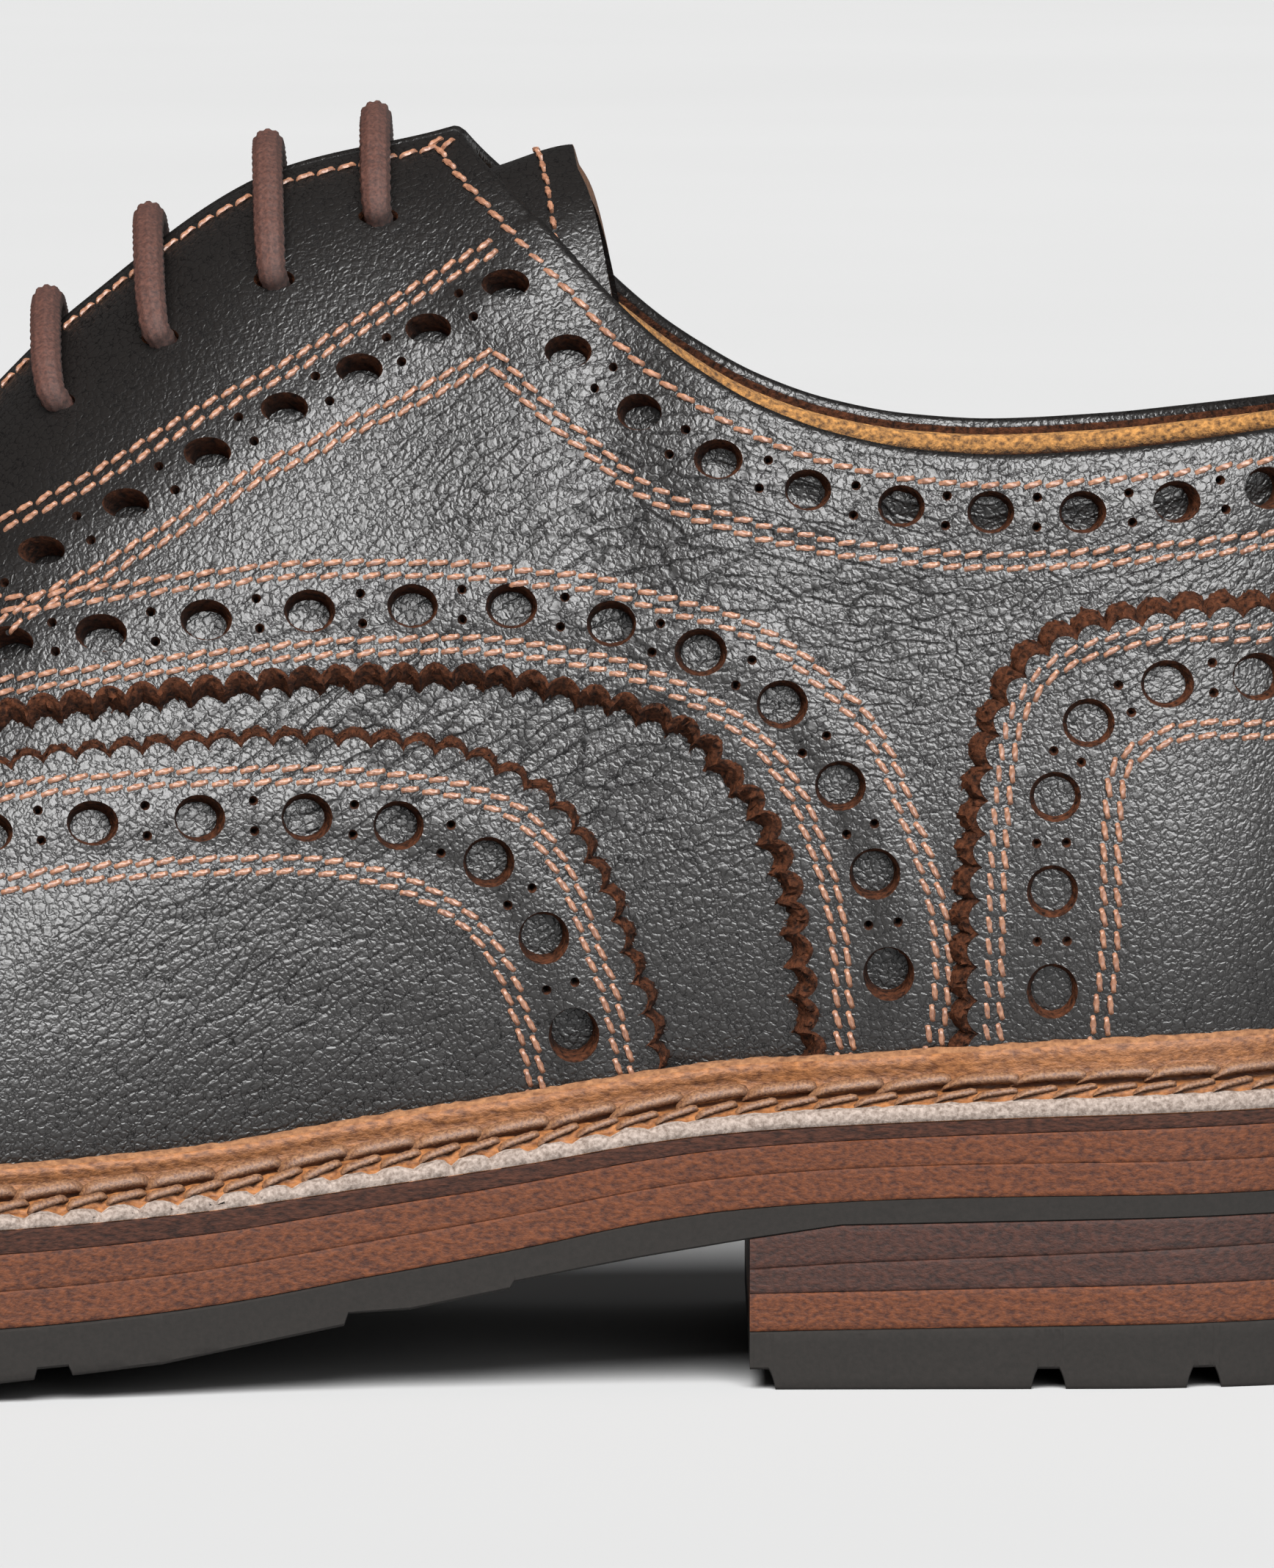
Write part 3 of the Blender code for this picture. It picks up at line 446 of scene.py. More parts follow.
def grained_leather(name, dark, light, angle, roughness=0.34):
    """Full-grain calf, drum-dyed and waxed: pebbles about 0.7 mm wide, coarser than real, with cracks between
    them, a gloss on their tops, and crinkles along one direction where the leather has bent. The cracks and
    the crinkles' troughs are painted darker, a painted shade."""
    made, tree, shader = finish_of(name, IOR=1.5)
    add, soft = {"operation": "MULTIPLY_ADD"}, {"interpolation_type": "SMOOTHSTEP"}
    here = node(tree, "ShaderNodeTexCoord").outputs["Object"]
    wander = node(tree, "ShaderNodeTexNoise", Vector=here, Scale=1700.0, Detail=1.0).outputs["Color"]
    moved = node(tree, "ShaderNodeVectorMath", add, i0=wander, i1=(0.0009, 0.0009, 0.0009),
                 i2=here).outputs[0]
    cells = node(tree, "ShaderNodeTexVoronoi", {"feature": "DISTANCE_TO_EDGE"}, Vector=moved, Scale=1080.0)
    lumps = node(tree, "ShaderNodeTexNoise", Vector=here, Scale=2700.0, Detail=2.0, Roughness=0.6)
    patch = node(tree, "ShaderNodeTexNoise", Vector=here, Scale=60.0, Detail=2.0)
    pebble = node(tree, "ShaderNodeMapRange", soft, Value=cells.outputs["Distance"], From_Max=0.32)
    crack = node(tree, "ShaderNodeMapRange", soft, Value=cells.outputs["Distance"], From_Max=0.075)
    flat = node(tree, "ShaderNodeUVMap", {"uv_map": "flow"}).outputs[0]
    turned = node(tree, "ShaderNodeMapping", {"vector_type": "TEXTURE"}, Vector=flat,
                  Rotation=(0, 0, -math.radians(angle)), Scale=(0.0044, 0.0012, 1.0))
    bend = node(tree, "ShaderNodeTexNoise", {"noise_dimensions": "2D"}, Vector=flat, Scale=240.0, Detail=2.0)
    crinkled = node(tree, "ShaderNodeVectorMath", add, i0=bend.outputs["Color"], i1=(0.9, 1.2, 0.0),
                    i2=turned.outputs[0]).outputs[0]
    folds = node(tree, "ShaderNodeTexVoronoi", {"feature": "DISTANCE_TO_EDGE", "voronoi_dimensions": "2D"},
                 Vector=crinkled, Scale=1.0)
    fold = node(tree, "ShaderNodeMapRange", soft, Value=folds.outputs["Distance"], From_Max=0.16, To_Min=-1.0,
                To_Max=0.0)
    crinkle_share = node(tree, "ShaderNodeAttribute", {"attribute_name": "crease"}).outputs["Fac"]
    crease = node(tree, "ShaderNodeMath", {"operation": "MULTIPLY"}, i0=fold.outputs[0], i1=crinkle_share).outputs[0]
    rough = node(tree, "ShaderNodeMath", add, i0=lumps.outputs[0], i1=1.0, i2=pebble.outputs[0]).outputs[0]
    height = node(tree, "ShaderNodeMath", add, i0=crease, i1=2.0, i2=rough).outputs[0]
    # Painted shade: the colour turns dark in the cracks between the pebbles and in the crinkles' troughs, and
    # the gloss and specular level drop with it.
    crack_and_crease_painted_shade = node(tree, "ShaderNodeMath", add, i0=crease, i1=0.7, i2=crack.outputs[0])
    shade = node(tree, "ShaderNodeMath", add, i0=patch.outputs[0], i1=0.3, i2=crack_and_crease_painted_shade.outputs[0]).outputs[0]
    colour = node(tree, "ShaderNodeMix", {"data_type": "RGBA"}, i0=shade, i6=linear(dark), i7=linear(light))
    tree.links.new(colour.outputs[2], shader.inputs["Base Color"])
    gloss = node(tree, "ShaderNodeMapRange", Value=shade, From_Max=1.1, To_Min=roughness + 0.25,
                 To_Max=roughness)
    tree.links.new(gloss.outputs[0], shader.inputs["Roughness"])
    bump = node(tree, "ShaderNodeBump", Height=height, Strength=1.0, Distance=0.000034)
    tree.links.new(bump.outputs[0], shader.inputs["Normal"])
    wax = node(tree, "ShaderNodeMapRange", Value=shade, From_Min=0.05, From_Max=0.9, To_Min=0.12, To_Max=0.5)
    tree.links.new(wax.outputs[0], shader.inputs["Specular IOR Level"])
    return made


def mottled(name, dark, light, roughness, size, depth=0.0, stretch=(1.0, 1.0, 1.0), **sockets):
    """Surface in two tones of soft patches: size is their width and depth their height in millimetres, and
    stretch draws them out along the axes."""
    made, tree, shader = finish_of(name, Roughness=roughness, **sockets)
    here = node(tree, "ShaderNodeTexCoord").outputs["Object"]
    drawn = node(tree, "ShaderNodeMapping", Vector=here, Scale=[1 / s for s in stretch]).outputs[0]
    patch = node(tree, "ShaderNodeTexNoise", Vector=drawn, Scale=1000 / size, Detail=3.0,
                 Roughness=0.6).outputs[0]
    tone = node(tree, "ShaderNodeMapRange", Value=patch, From_Min=0.32, From_Max=0.68).outputs[0]
    colour = node(tree, "ShaderNodeMix", {"data_type": "RGBA"}, i0=tone, i6=linear(dark), i7=linear(light))
    tree.links.new(colour.outputs[2], shader.inputs["Base Color"])
    if depth:
        bump = node(tree, "ShaderNodeBump", Height=patch, Strength=1.0, Distance=depth / 1000).outputs[0]
        tree.links.new(bump, shader.inputs["Normal"])
    return made


# Leather of the upper, glossy and grained.
calf = grained_leather("black_grained_calf", "#020101", "#12100F", 25)
# Cut edges show the split fibres, dyed brown.
raw_edge = mottled("raw_edge_brown", "#120A07", "#4A2A1A", 0.95, 0.6, 0.25, Specular_IOR_Level=0.1)
# The lining is smooth and tan, with a rough darker band along the topline.
lining_calf = mottled("lining_calf_tan", "#7D4A18", "#8D5723", 0.5, 9.0, 0.02)
lining_band = mottled("lining_band_rough", "#3E2710", "#A0713A", 0.95, 0.6, 0.3)
# The tongue's cut edge is left undyed.
tan_edge = mottled("cut_edge_tan", "#4F2E17", "#754E2B", 0.9, 0.6, 0.1)
# Copper thread catches the light on its strands, over dimples left by the needle that are painted near-black,
# a painted shade.
thread = mottled("waxed_thread_copper", "#664434", "#8F664E", 0.42, 0.5, 0.02)
needle_hole = mottled("needle_hole_painted_shade", "#040303", "#0A0707", 0.95, 0.5)
# The welt's edge is waxed and burnished, its top split and fibrous, its trodden lip greyed by the wheel.
welt_calf = mottled("welt_leather_tan", "#4E2C15", "#8A5A34", 0.6, 0.5, 0.16, (2.0, 2.0, 1.0),
                    Specular_IOR_Level=0.3)
welt_rough = mottled("welt_split_top", "#56351E", "#835B3B", 0.95, 0.9, 0.3)
welt_lip = mottled("welt_edge_grey", "#5A4C43", "#8F8279", 0.8, 0.45, 0.12)
welt_thread = mottled("waxed_linen_thread", "#46291A", "#7A573B", 0.6, 0.3, 0.08)
# Edge dressing over the ends of the fibres, which run along the sole.
dark_leather = mottled("midsole_leather_dark", "#1A0D09", "#402419", 0.75, 0.3, 0.12, (3.0, 3.0, 1.0),
                       Specular_IOR_Level=0.15)
stacked_leather = mottled("stacked_leather_brown", "#2E1308", "#5A2F15", 0.65, 0.4, 0.1, (1.8, 1.8, 1.0),
                          Specular_IOR_Level=0.2)
dark_lift = mottled("stacked_leather_dark", "#1B0E0B", "#3B2017", 0.65, 0.4, 0.1, (1.8, 1.8, 1.0),
                    Specular_IOR_Level=0.2)
# Tread and top piece: matte and nearly even, with a skin from the mould.
rubber = mottled("moulded_rubber", "#1B1917", "#201D1B", 0.85, 0.5, 0.02, Specular_IOR_Level=0.2)
# Cotton cord, dull, its tone uneven from strand to strand.
braid = mottled("braided_cotton", "#291510", "#4B2D24", 0.8, 0.35, 0.05)

# Places where the upper has bent, in pixels, with the reach of the crinkles in millimetres. The crinkles are
# bumped, and their troughs are painted darker, a painted shade.
CRINKLED_PLACES = [((640, 650), 15, 0.6), ((900, 730), 20, 1.0), ((1200, 830), 19, 0.9), ((500, 1000), 20, 1.0),
        ((800, 1010), 15, 1.0), ((960, 1150), 11, 0.6), ((350, 1300), 22, 0.7), ((1550, 800), 17, 0.7)]


crinkled_uv = on_shoe([pixel for pixel, _, _ in CRINKLED_PLACES], 1.0)
CRINKLED_CENTRES = [last_raw(crinkled_uv[:, 0], side, crinkled_uv[:, 1]) for side in (LATERAL, MEDIAL)]


def crinkled_at(points):
    """Share of crinkling at points in millimetres."""
    crinkle_share = np.zeros(len(points))
    for centres in CRINKLED_CENTRES:
        for centre, (_, reach, share) in zip(centres, CRINKLED_PLACES):
            crinkle_share = np.maximum(crinkle_share, share * np.exp(-((points - centre) ** 2).sum(1) / reach ** 2))
    return crinkle_share


def make(name, points, faces, finishes, slot_name, stands_for=(), which=None, sharp=40, flow=None):
    """Piece from points in millimetres. which gives each face its place in the list of finishes, and flow
    gives each point its place on the flat leather."""
    mesh = bpy.data.meshes.new(name)
    faces = faces if isinstance(faces, list) else faces.tolist()
    mesh.from_pydata(((np.asarray(points, float) - CENTRE) / 1000).tolist(), [], faces)
    for finish in finishes if isinstance(finishes, list) else [finishes]:
        mesh.materials.append(finish)
    if which is not None:
        mesh.polygons.foreach_set("material_index", np.asarray(which, np.int32))
    mesh.polygons.foreach_set("use_smooth", np.ones(len(mesh.polygons), bool))
    mesh.set_sharp_from_angle(angle=math.radians(sharp))
    if flow is not None:
        corners = np.zeros(len(mesh.loops), np.int32)
        mesh.loops.foreach_get("vertex_index", corners)
        mesh.uv_layers.new(name="flow").data.foreach_set("uv", np.asarray(flow, np.float32)[corners].ravel())
        # Share of crinkling at each point, which the leather's finish bumps and paints darker in the troughs,
        # a painted shade.
        crease = mesh.attributes.new("crease", "FLOAT", "POINT")
        crease.data.foreach_set("value", crinkled_at(np.asarray(points, float).reshape(-1, 3)).astype(np.float32))
    mesh.update()
    obj = bpy.data.objects.new(name, mesh)
    bpy.context.scene.collection.objects.link(obj)
    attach(obj, "root")
    if stands_for:
        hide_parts(*([stands_for] if isinstance(stands_for, str) else stands_for))
    return obj


def quads(rows, columns, wrap_rows=False, wrap_columns=False):
    """Faces of a grid of points, row by row."""
    i, j = np.meshgrid(np.arange(rows - (not wrap_rows)), np.arange(columns - (not wrap_columns)),
                       indexing="ij")
    here, there, j2 = i * columns, (i + 1) % rows * columns, (j + 1) % columns
    return np.stack([here + j, here + j2, there + j2, there + j], -1).reshape(-1, 4)


def tube(sections, corners, flip=False):
    """Faces of a closed tube: its wall, and a cap at each end."""
    first, last = list(range(corners)), list(range((sections - 1) * corners, sections * corners))
    caps = [first, last[::-1]] if flip else [first[::-1], last]
    return quads(sections, corners, wrap_columns=True).tolist() + caps


class Heap:
    """Points and faces gathered from many small meshes."""

    def __init__(self):
        self.points, self.faces, self.which, self.flow, self.count = [], [], [], [], 0

    def add(self, points, faces, which=0, flow=None):
        points = np.asarray(points, float).reshape(-1, 3)
        self.points.append(points)
        self.faces += (np.asarray(faces) + self.count).tolist()
        self.which += [which] * len(faces)
        flow = np.zeros((len(points), 2)) if flow is None else np.asarray(flow, float)
        self.flow.append(flow.reshape(-1, 2))
        self.count += len(points)

    def piece(self, name, finishes, slot_name, **more):
        return make(name, np.concatenate(self.points), self.faces, finishes, slot_name, which=self.which,
                    flow=np.concatenate(self.flow) / 1000, **more)


# Lines on the outer side.
FACING_BAND_TOP = [(673, 328), (598, 371), (532, 410), (471, 446), (410, 482), (354, 513), (266, 560),
                   (166, 621), (83, 668), (0, 709), (-80, 748), (-170, 790)]
FACING_BAND_LOW = [(673, 477), (609, 510), (532, 549), (471, 576), (421, 604), (360, 632), (310, 662),
                   (238, 709), (183, 742), (127, 776), (55, 812), (0, 848)]
TOPLINE_BAND_LOW = [(673, 477), (720, 526), (775, 576), (831, 621), (868, 651), (923, 679), (979, 698),
                    (1034, 715), (1100, 729), (1178, 742), (1256, 751), (1339, 756), (1394, 756),
                    (1477, 752), (1560, 745), (1643, 737), (1736, 726), (1850, 712), (1930, 704)]
QUARTER_BAND_TOP = [(-170, 800), (-80, 812), (35, 814), (120, 803), (205, 791), (310, 778), (387, 769),
                    (471, 767), (554, 767), (637, 769), (714, 778), (775, 783), (868, 803), (923, 819),
                    (979, 833), (1034, 855), (1089, 888), (1128, 922), (1161, 952), (1189, 983),
                    (1211, 1021), (1228, 1060), (1244, 1104), (1261, 1149), (1275, 1193), (1286, 1237),
                    (1292, 1282), (1293, 1331), (1289, 1376), (1283, 1414), (1279, 1450)]
QUARTER_BAND_LOW = [(-150, 940), (-60, 934), (0, 927), (111, 913), (310, 888), (387, 880), (471, 873),
                    (554, 871), (637, 869), (720, 877), (803, 891), (868, 908), (923, 930), (979, 958),
                    (1017, 985), (1051, 1016), (1078, 1055), (1100, 1093), (1117, 1138), (1134, 1187),
                    (1145, 1232), (1153, 1282), (1156, 1331), (1159, 1387), (1161, 1425), (1162, 1460)]
QUARTER_GIMP = [(-160, 972), (-60, 968), (0, 963), (111, 949), (221, 935), (310, 927), (387, 916),
                (471, 913), (554, 911), (637, 911), (720, 919), (803, 938), (868, 955), (923, 977),
                (968, 1005), (995, 1043), (1029, 1082), (1051, 1115), (1073, 1171), (1089, 1226),
                (1095, 1282), (1103, 1331), (1106, 1387), (1117, 1437), (1120, 1475)]
WING_GIMP = [(0, 1043), (55, 1032), (111, 1027), (221, 1018), (332, 1010), (443, 1009), (498, 1011),
             (554, 1016), (598, 1021), (637, 1030), (675, 1049), (720, 1071), (759, 1104), (786, 1138),
             (808, 1182), (831, 1226), (847, 1276), (861, 1320), (880, 1370), (893, 1442), (897, 1500)]
WING_BAND_TOP = [(0, 1071), (111, 1060), (221, 1052), (332, 1049), (443, 1048), (554, 1057), (637, 1071),
                 (714, 1104), (742, 1132), (764, 1165), (786, 1204), (803, 1248), (819, 1298), (836, 1342),
                 (847, 1387), (858, 1442), (864, 1490)]
WING_BAND_LOW = [(0, 1196), (111, 1182), (221, 1174), (332, 1170), (443, 1172), (554, 1197), (598, 1218),
                 (637, 1243), (664, 1270), (687, 1304), (703, 1337), (714, 1370), (725, 1403), (734, 1442),
                 (738, 1470), (741, 1510)]
COUNTER_GIMP = [(1326, 1460), (1326, 1426), (1325, 1359), (1325, 1304), (1328, 1248), (1330, 1193),
                (1336, 1138), (1341, 1082), (1350, 1027), (1361, 983), (1377, 944), (1400, 911),
                (1427, 888), (1466, 866), (1510, 855), (1560, 847), (1604, 839), (1654, 836), (1736, 833),
                (1850, 829), (1930, 827)]
COUNTER_BAND_TOP = [(1361, 1450), (1362, 1414), (1365, 1304), (1368, 1193), (1376, 1082), (1391, 988),
                    (1408, 955), (1427, 930), (1449, 913), (1483, 897), (1521, 886), (1566, 875),
                    (1610, 871), (1736, 872), (1850, 868), (1930, 866)]
COUNTER_BAND_LOW = [(1484, 1440), (1488, 1409), (1502, 1304), (1504, 1193), (1505, 1138), (1516, 1049),
                    (1527, 1032), (1555, 1010), (1588, 994), (1632, 985), (1736, 985), (1850, 981),
                    (1930, 979)]
FACING_HOLES = [(689, 388), (584, 449), (490, 504), (388, 557), (283, 618), (172, 687), (57, 751), (-56, 806)]
TOPLINE_HOLES = [(775, 479), (871, 562), (979, 626), (1101, 668), (1228, 690), (1350, 698), (1475, 698),
                 (1603, 684), (1726, 665), (1846, 650)]
QUARTER_HOLES = [(-116, 890), (11, 877), (138, 863), (281, 845), (422, 833), (562, 826), (697, 826),
                 (833, 850), (955, 889), (1066, 960), (1145, 1071), (1192, 1191), (1211, 1327)]
WING_HOLES = [(-18, 1134), (126, 1122), (272, 1115), (418, 1114), (543, 1125), (666, 1175), (741, 1278),
              (782, 1410)]
COUNTER_HOLES = [(1434, 1351), (1434, 1215), (1438, 1086), (1483, 985), (1591, 932), (1715, 922), (1840, 918)]


def distance_to(points, line):
    """Distance of each point from a line of close points, and its side, positive to the left."""
    here, along, left, _ = line
    tree = tree_of(here)
    found = [tree.find(p) for p in points]
    index = np.array([f[1] for f in found])
    away = points - here[index]
    away = away - (away * along[index]).sum(1, keepdims=True) * along[index]
    ends = (index == 0) | (index == len(here) - 1)
    span = np.where(ends, [f[2] for f in found], np.linalg.norm(away, axis=1))
    return span, np.sign((away * left[index]).sum(1))


def ring_about(centre, radius, count=30):
    """Shares of a circle drawn on the shoe about a place."""
    uv = np.repeat(centre[None], count, 0)
    point = last_raw(centre[:1], LATERAL, centre[1:])[0]
    out = outward(centre[:1], LATERAL, centre[1:])[0]
    across = unit(np.cross(out, (0, 0, 1.0)))
    up = np.cross(across, out)
    tall = radius * (1 - 0.75 * out[2]) if 1 < radius < 2.6 else radius
    angle = np.linspace(0, 2 * math.pi, count, endpoint=False)[:, None]
    return nearest(point + radius * np.cos(angle) * across + tall * np.sin(angle) * up, uv)


def gimped(uv, depth=0.55):
    """Zigzag edge along a line: one rounded tooth to every pitch, cut on both sides of the line."""
    line = spaced(uv, TOOTH / 10)
    step = np.arange(len(line)) / 10
    tooth = np.abs(np.sin(math.pi * step)) ** 0.75
    return beside(line, depth * (2 * tooth - 1))


class Panel:
    """Cut leather as a flat net over shares (u, t), through its outline, its punched holes and a grid."""

    def __init__(self, outline, holes, rows, pitch=1.1):
        outline = np.asarray(outline)
        x, y = outline.T
        if (x * np.roll(y, -1) - np.roll(x, -1) * y).sum() < 0:
            outline = outline[::-1]
        self.rows = [frames(spaced(row, 0.3)) for row in rows]
        fixed, edges, label = [outline], [], [np.full(len(outline), -1)]
        edges += [(i, (i + 1) % len(outline)) for i in range(len(outline))]
        start = len(outline)
        for k, (centre, radius) in enumerate(holes):
            count = 30 if radius > 1 else 12
            for grow, is_rim in ((0.22 if radius > 1 else 0.12, False), (0.0, True)):
                ring = ring_about(centre, radius + grow, count)
                fixed.append(ring)
                edges += [(start + i, start + (i + 1) % count) for i in range(count)]
                label.append(np.full(count, k if is_rim else -1))
                start += count
        fixed = np.concatenate(fixed)
        lines = []
        for row in rows:
            even = spaced(row, pitch)
            lines += [even[1:-1], beside(even, 0.5)[1:-1], beside(even, -0.5)[1:-1]]
        lines = np.concatenate(lines) if lines else np.zeros((0, 2))
        low, high = outline.min(0), outline.max(0)
        grid = []
        ts = np.linspace(low[1], high[1], 400)
        mid = np.full(400, (low[0] + high[0]) / 2)
        run = run_along(last_raw(mid, LATERAL, ts))
        for k, t in enumerate(np.interp(np.arange(pitch / 2, run[-1], pitch * 0.87), run, ts)):
            us = np.linspace(low[0], high[0], 500)
            length = run_along(last_raw(us, LATERAL, np.full(500, t)))
            marks = np.arange(pitch * (0.25 + 0.5 * (k % 2)), length[-1], pitch)
            grid.append(np.stack([np.interp(marks, length, us), np.full(len(marks), t)], -1))
        grid = self.crack_and_crease_painted_shade(np.concatenate(grid), fixed, 0.62 * pitch)
        lines = self.crack_and_crease_painted_shade(lines, fixed, 0.4 * pitch)
        for centre, radius in holes:
            spot = last_raw(centre[:1], LATERAL, centre[1:])
            grid, lines = (p[np.linalg.norm(on_last(p) - spot, axis=1) > radius + 0.4] for p in (grid, lines))
        if len(lines):
            grid = self.crack_and_crease_painted_shade(grid, lines, 0.55 * pitch)
        label = np.concatenate(label)
        points = np.concatenate([fixed, lines, grid])
        verts, _, faces, origin, _, _ = delaunay_2d_cdt([Vector(p * UNROLLED) for p in points], edges,
                                                        [list(range(len(outline)))], 1, 1e-5)
        first = np.array([o[0] if o else -1 for o in origin])
        self.uv = np.array([[v.x, v.y] for v in verts]) / UNROLLED
        known = first >= 0
        self.uv[known] = points[first[known]]
        marks = np.where((first >= 0) & (first < len(label)), label[np.clip(first, 0, len(label) - 1)], -1)
        faces = np.array([f for f in faces if len(f) == 3])
        inside = (marks[faces[:, 0]] >= 0) & (marks[faces[:, 0]] == marks[faces[:, 1]]) & (
            marks[faces[:, 0]] == marks[faces[:, 2]])
        self.faces = faces[~inside]
        used = np.unique(self.faces)
        renumber = np.full(len(self.uv), -1)
        renumber[used] = np.arange(len(used))
        self.faces, self.uv, self.hole = renumber[self.faces], self.uv[used], marks[used] >= 0
        a, b, c = (self.uv[self.faces[:, k]] for k in range(3))
        turn = (b - a)[:, 0] * (c - a)[:, 1] - (b - a)[:, 1] * (c - a)[:, 0]
        self.faces[turn < 0] = self.faces[turn < 0][:, ::-1]
        directed = dict.fromkeys((f[i], f[(i + 1) % 3]) for f in self.faces.tolist() for i in range(3))
        self.border = np.array([e for e in directed if (e[1], e[0]) not in directed])

    @staticmethod
    def crack_and_crease_painted_shade(points, fixed, space):
        """The points that stay clear of the fixed ones."""
        tree = tree_of(on_last(fixed))
        return points[np.array([tree.find(p)[2] > space for p in on_last(points)])]

    def solid(self, heap, side, top, bottom, kind, seam=None, seed=1):
        """Adds the panel on one side, between lifts top and bottom, with walls by kind: 0 raw, 1 rolled."""
        u, t = self.uv.T
        upper_points = last_point(u, side, t, top)
        lower_points = last_point(u, side, t, np.broadcast_to(bottom, len(u)))
        out = outward(u, side, t)
        faces = self.faces if side < 0 else self.faces[:, ::-1]
        flow = self.uv * UNROLLED
        heap.add(upper_points, faces, 0, flow)
        heap.add(lower_points, faces[:, ::-1], 1, flow)
        start, end = self.border.T
        if side > 0:
            start, end = end, start
        if seam is not None:
            keep = ~(seam[start] & seam[end])
            start, end = start[keep], end[keep]
        edge = upper_points[end] - upper_points[start]
        edge /= np.linalg.norm(edge, axis=1, keepdims=True) + 1e-9
        away = np.zeros_like(upper_points)
        push = np.cross(edge, out[start])
        np.add.at(away, start, push)
        np.add.at(away, end, push)
        rim = np.unique(np.concatenate([start, end]))
        away = away[rim] / (np.linalg.norm(away[rim], axis=1, keepdims=True) + 1e-9)
        here, there, kinds, hole = upper_points[rim], lower_points[rim], kind[rim], self.hole[rim]
        number = np.full(len(u), -1)
        number[rim] = np.arange(len(rim))
        random = np.random.default_rng(seed)
        depth = here - there
        levels = np.linspace(0, 1, 6)
        thick = np.linalg.norm(depth, axis=1, keepdims=True)
        walls = []
        for level in levels:
            middle_row = 0 < level < 1
            fuzz = random.normal(0, 0.06, (len(rim), 3)) * middle_row
            spread = np.select([kinds == 1, hole], [0.5 * thick[:, 0] * math.sin(math.pi * level),
                                                    0.5 * level ** 0.7], 0.15 * level)
            raw = np.where((kinds == 1)[:, None], 0, fuzz)
            walls.append(here - depth * (1 - math.cos(math.pi * level)) / 2 * (kinds == 1)[:, None]
                         - depth * level * (kinds != 1)[:, None] + away * spread[:, None] + raw)
        points = np.concatenate(walls)
        n = len(rim)
        for k in range(5):
            a, b = number[start] + k * n, number[end] + k * n
            ring = np.stack([a, a + n, b + n, b], -1)
            rolled_face = (kinds[number[start]] == 1) & (kinds[number[end]] == 1)
            for which, chosen in ((0, rolled_face), (1, ~rolled_face)):
                if chosen.any():
                    heap.add(points, ring[chosen], which, np.tile(flow[rim], (6, 1)))


def loose_removed(heap):
    """Welds what coincides and drops what no face uses."""
    points = np.concatenate(heap.points)
    flow = np.concatenate(heap.flow)
    _, first, index = np.unique(np.round(points, 4), axis=0, return_index=True, return_inverse=True)
    index = index.reshape(-1)
    faces, which = [], []
    for face, w in zip(heap.faces, heap.which):
        ring = [int(index[f]) for f in face]
        ring = [v for k, v in enumerate(ring) if v != ring[k - 1]]
        if len(ring) > 2:
            faces.append(ring)
            which.append(w)
    used = np.unique(np.concatenate([np.array(f) for f in faces]))
    renumber = np.full(len(first), -1)
    renumber[used] = np.arange(len(used))
    made = Heap()
    made.points, made.flow = [points[first][used]], [flow[first][used]]
    made.faces, made.which = [[int(renumber[v]) for v in f] for f in faces], which
    made.count = len(used)
    return made


def edge_line(u):
    """Foot of a panel, hidden behind the rim of the welt."""
    return np.stack([u, above_rim(u, FOOT)], -1)


def cut_off(uv):
    """The part of a line above the foot of the panels."""
    return uv[uv[:, 1] > above_rim(uv[:, 0], FOOT)]


def holes_along(pixels, lift, radius):
    """Punched holes at places seen in the photograph, and two pinholes across the band between each two."""
    uv = on_shoe(pixels, lift)
    found = [(c, radius) for c in uv]
    line = through(uv, 20)
    _, _, left, _ = frames(line)
    for i in range(10, 20 * (len(uv) - 1), 20):
        for off in (-PINHOLE_SPREAD, PINHOLE_SPREAD):
            found.append((nearest(on_last(line[i:i + 1]) + left[i] * off, line[i:i + 1])[0], PINHOLE))
    return found


def crossing(first, second):
    """Place in each of two lines, as a count of points, at which they come nearest to each other."""
    a, b = on_last(first), on_last(second)
    span = ((a[:, None] - b[None]) ** 2).sum(-1)
    return np.unravel_index(np.argmin(span), span.shape)


# Quarter: gimped front edge, and punched bands along the facing, the topline and the front.
front_u = float(share_at(THROAT_FRONT - 0.4))
quarter_gimp = through(on_shoe(QUARTER_GIMP, SKIN))
front_top, front_low = upper_top(front_u)[0], quarter_gimp[0, 1]
corner = np.array([(front_u, front_top), (front_u, front_top - 0.03), (front_u, (front_top + front_low) / 2),
                   (front_u, front_low + 0.06), (front_u - 0.004, front_low + 0.015)])
quarter_gimp = cut_off(np.concatenate([corner[3:], quarter_gimp[quarter_gimp[:, 0] < front_u - 0.012]]))
quarter_gimp = through(quarter_gimp[::6], 4)
top_u = np.concatenate([np.linspace(0, share_at(14), 12)[:-1],
                        share_at(np.linspace(14, THROAT_FRONT - 0.4, 420))])
top_line = np.stack([top_u, upper_top(top_u)], -1)
cut_gimp = gimped(quarter_gimp)
cut_gimp = cut_gimp[cut_gimp[:, 0] <= front_u]
back_edge = np.stack([np.zeros(70), np.linspace(top_line[0, 1], above_rim(0.0, FOOT)[0], 70)], -1)[1:-1]
quarter_outline = np.concatenate([edge_line(np.linspace(0, quarter_gimp[-1, 0], 200))[:-1], cut_gimp[::-1],
                                  spaced(corner[:4][::-1], 0.5)[1:-1], spaced(top_line, 0.5)[::-1],
                                  back_edge])

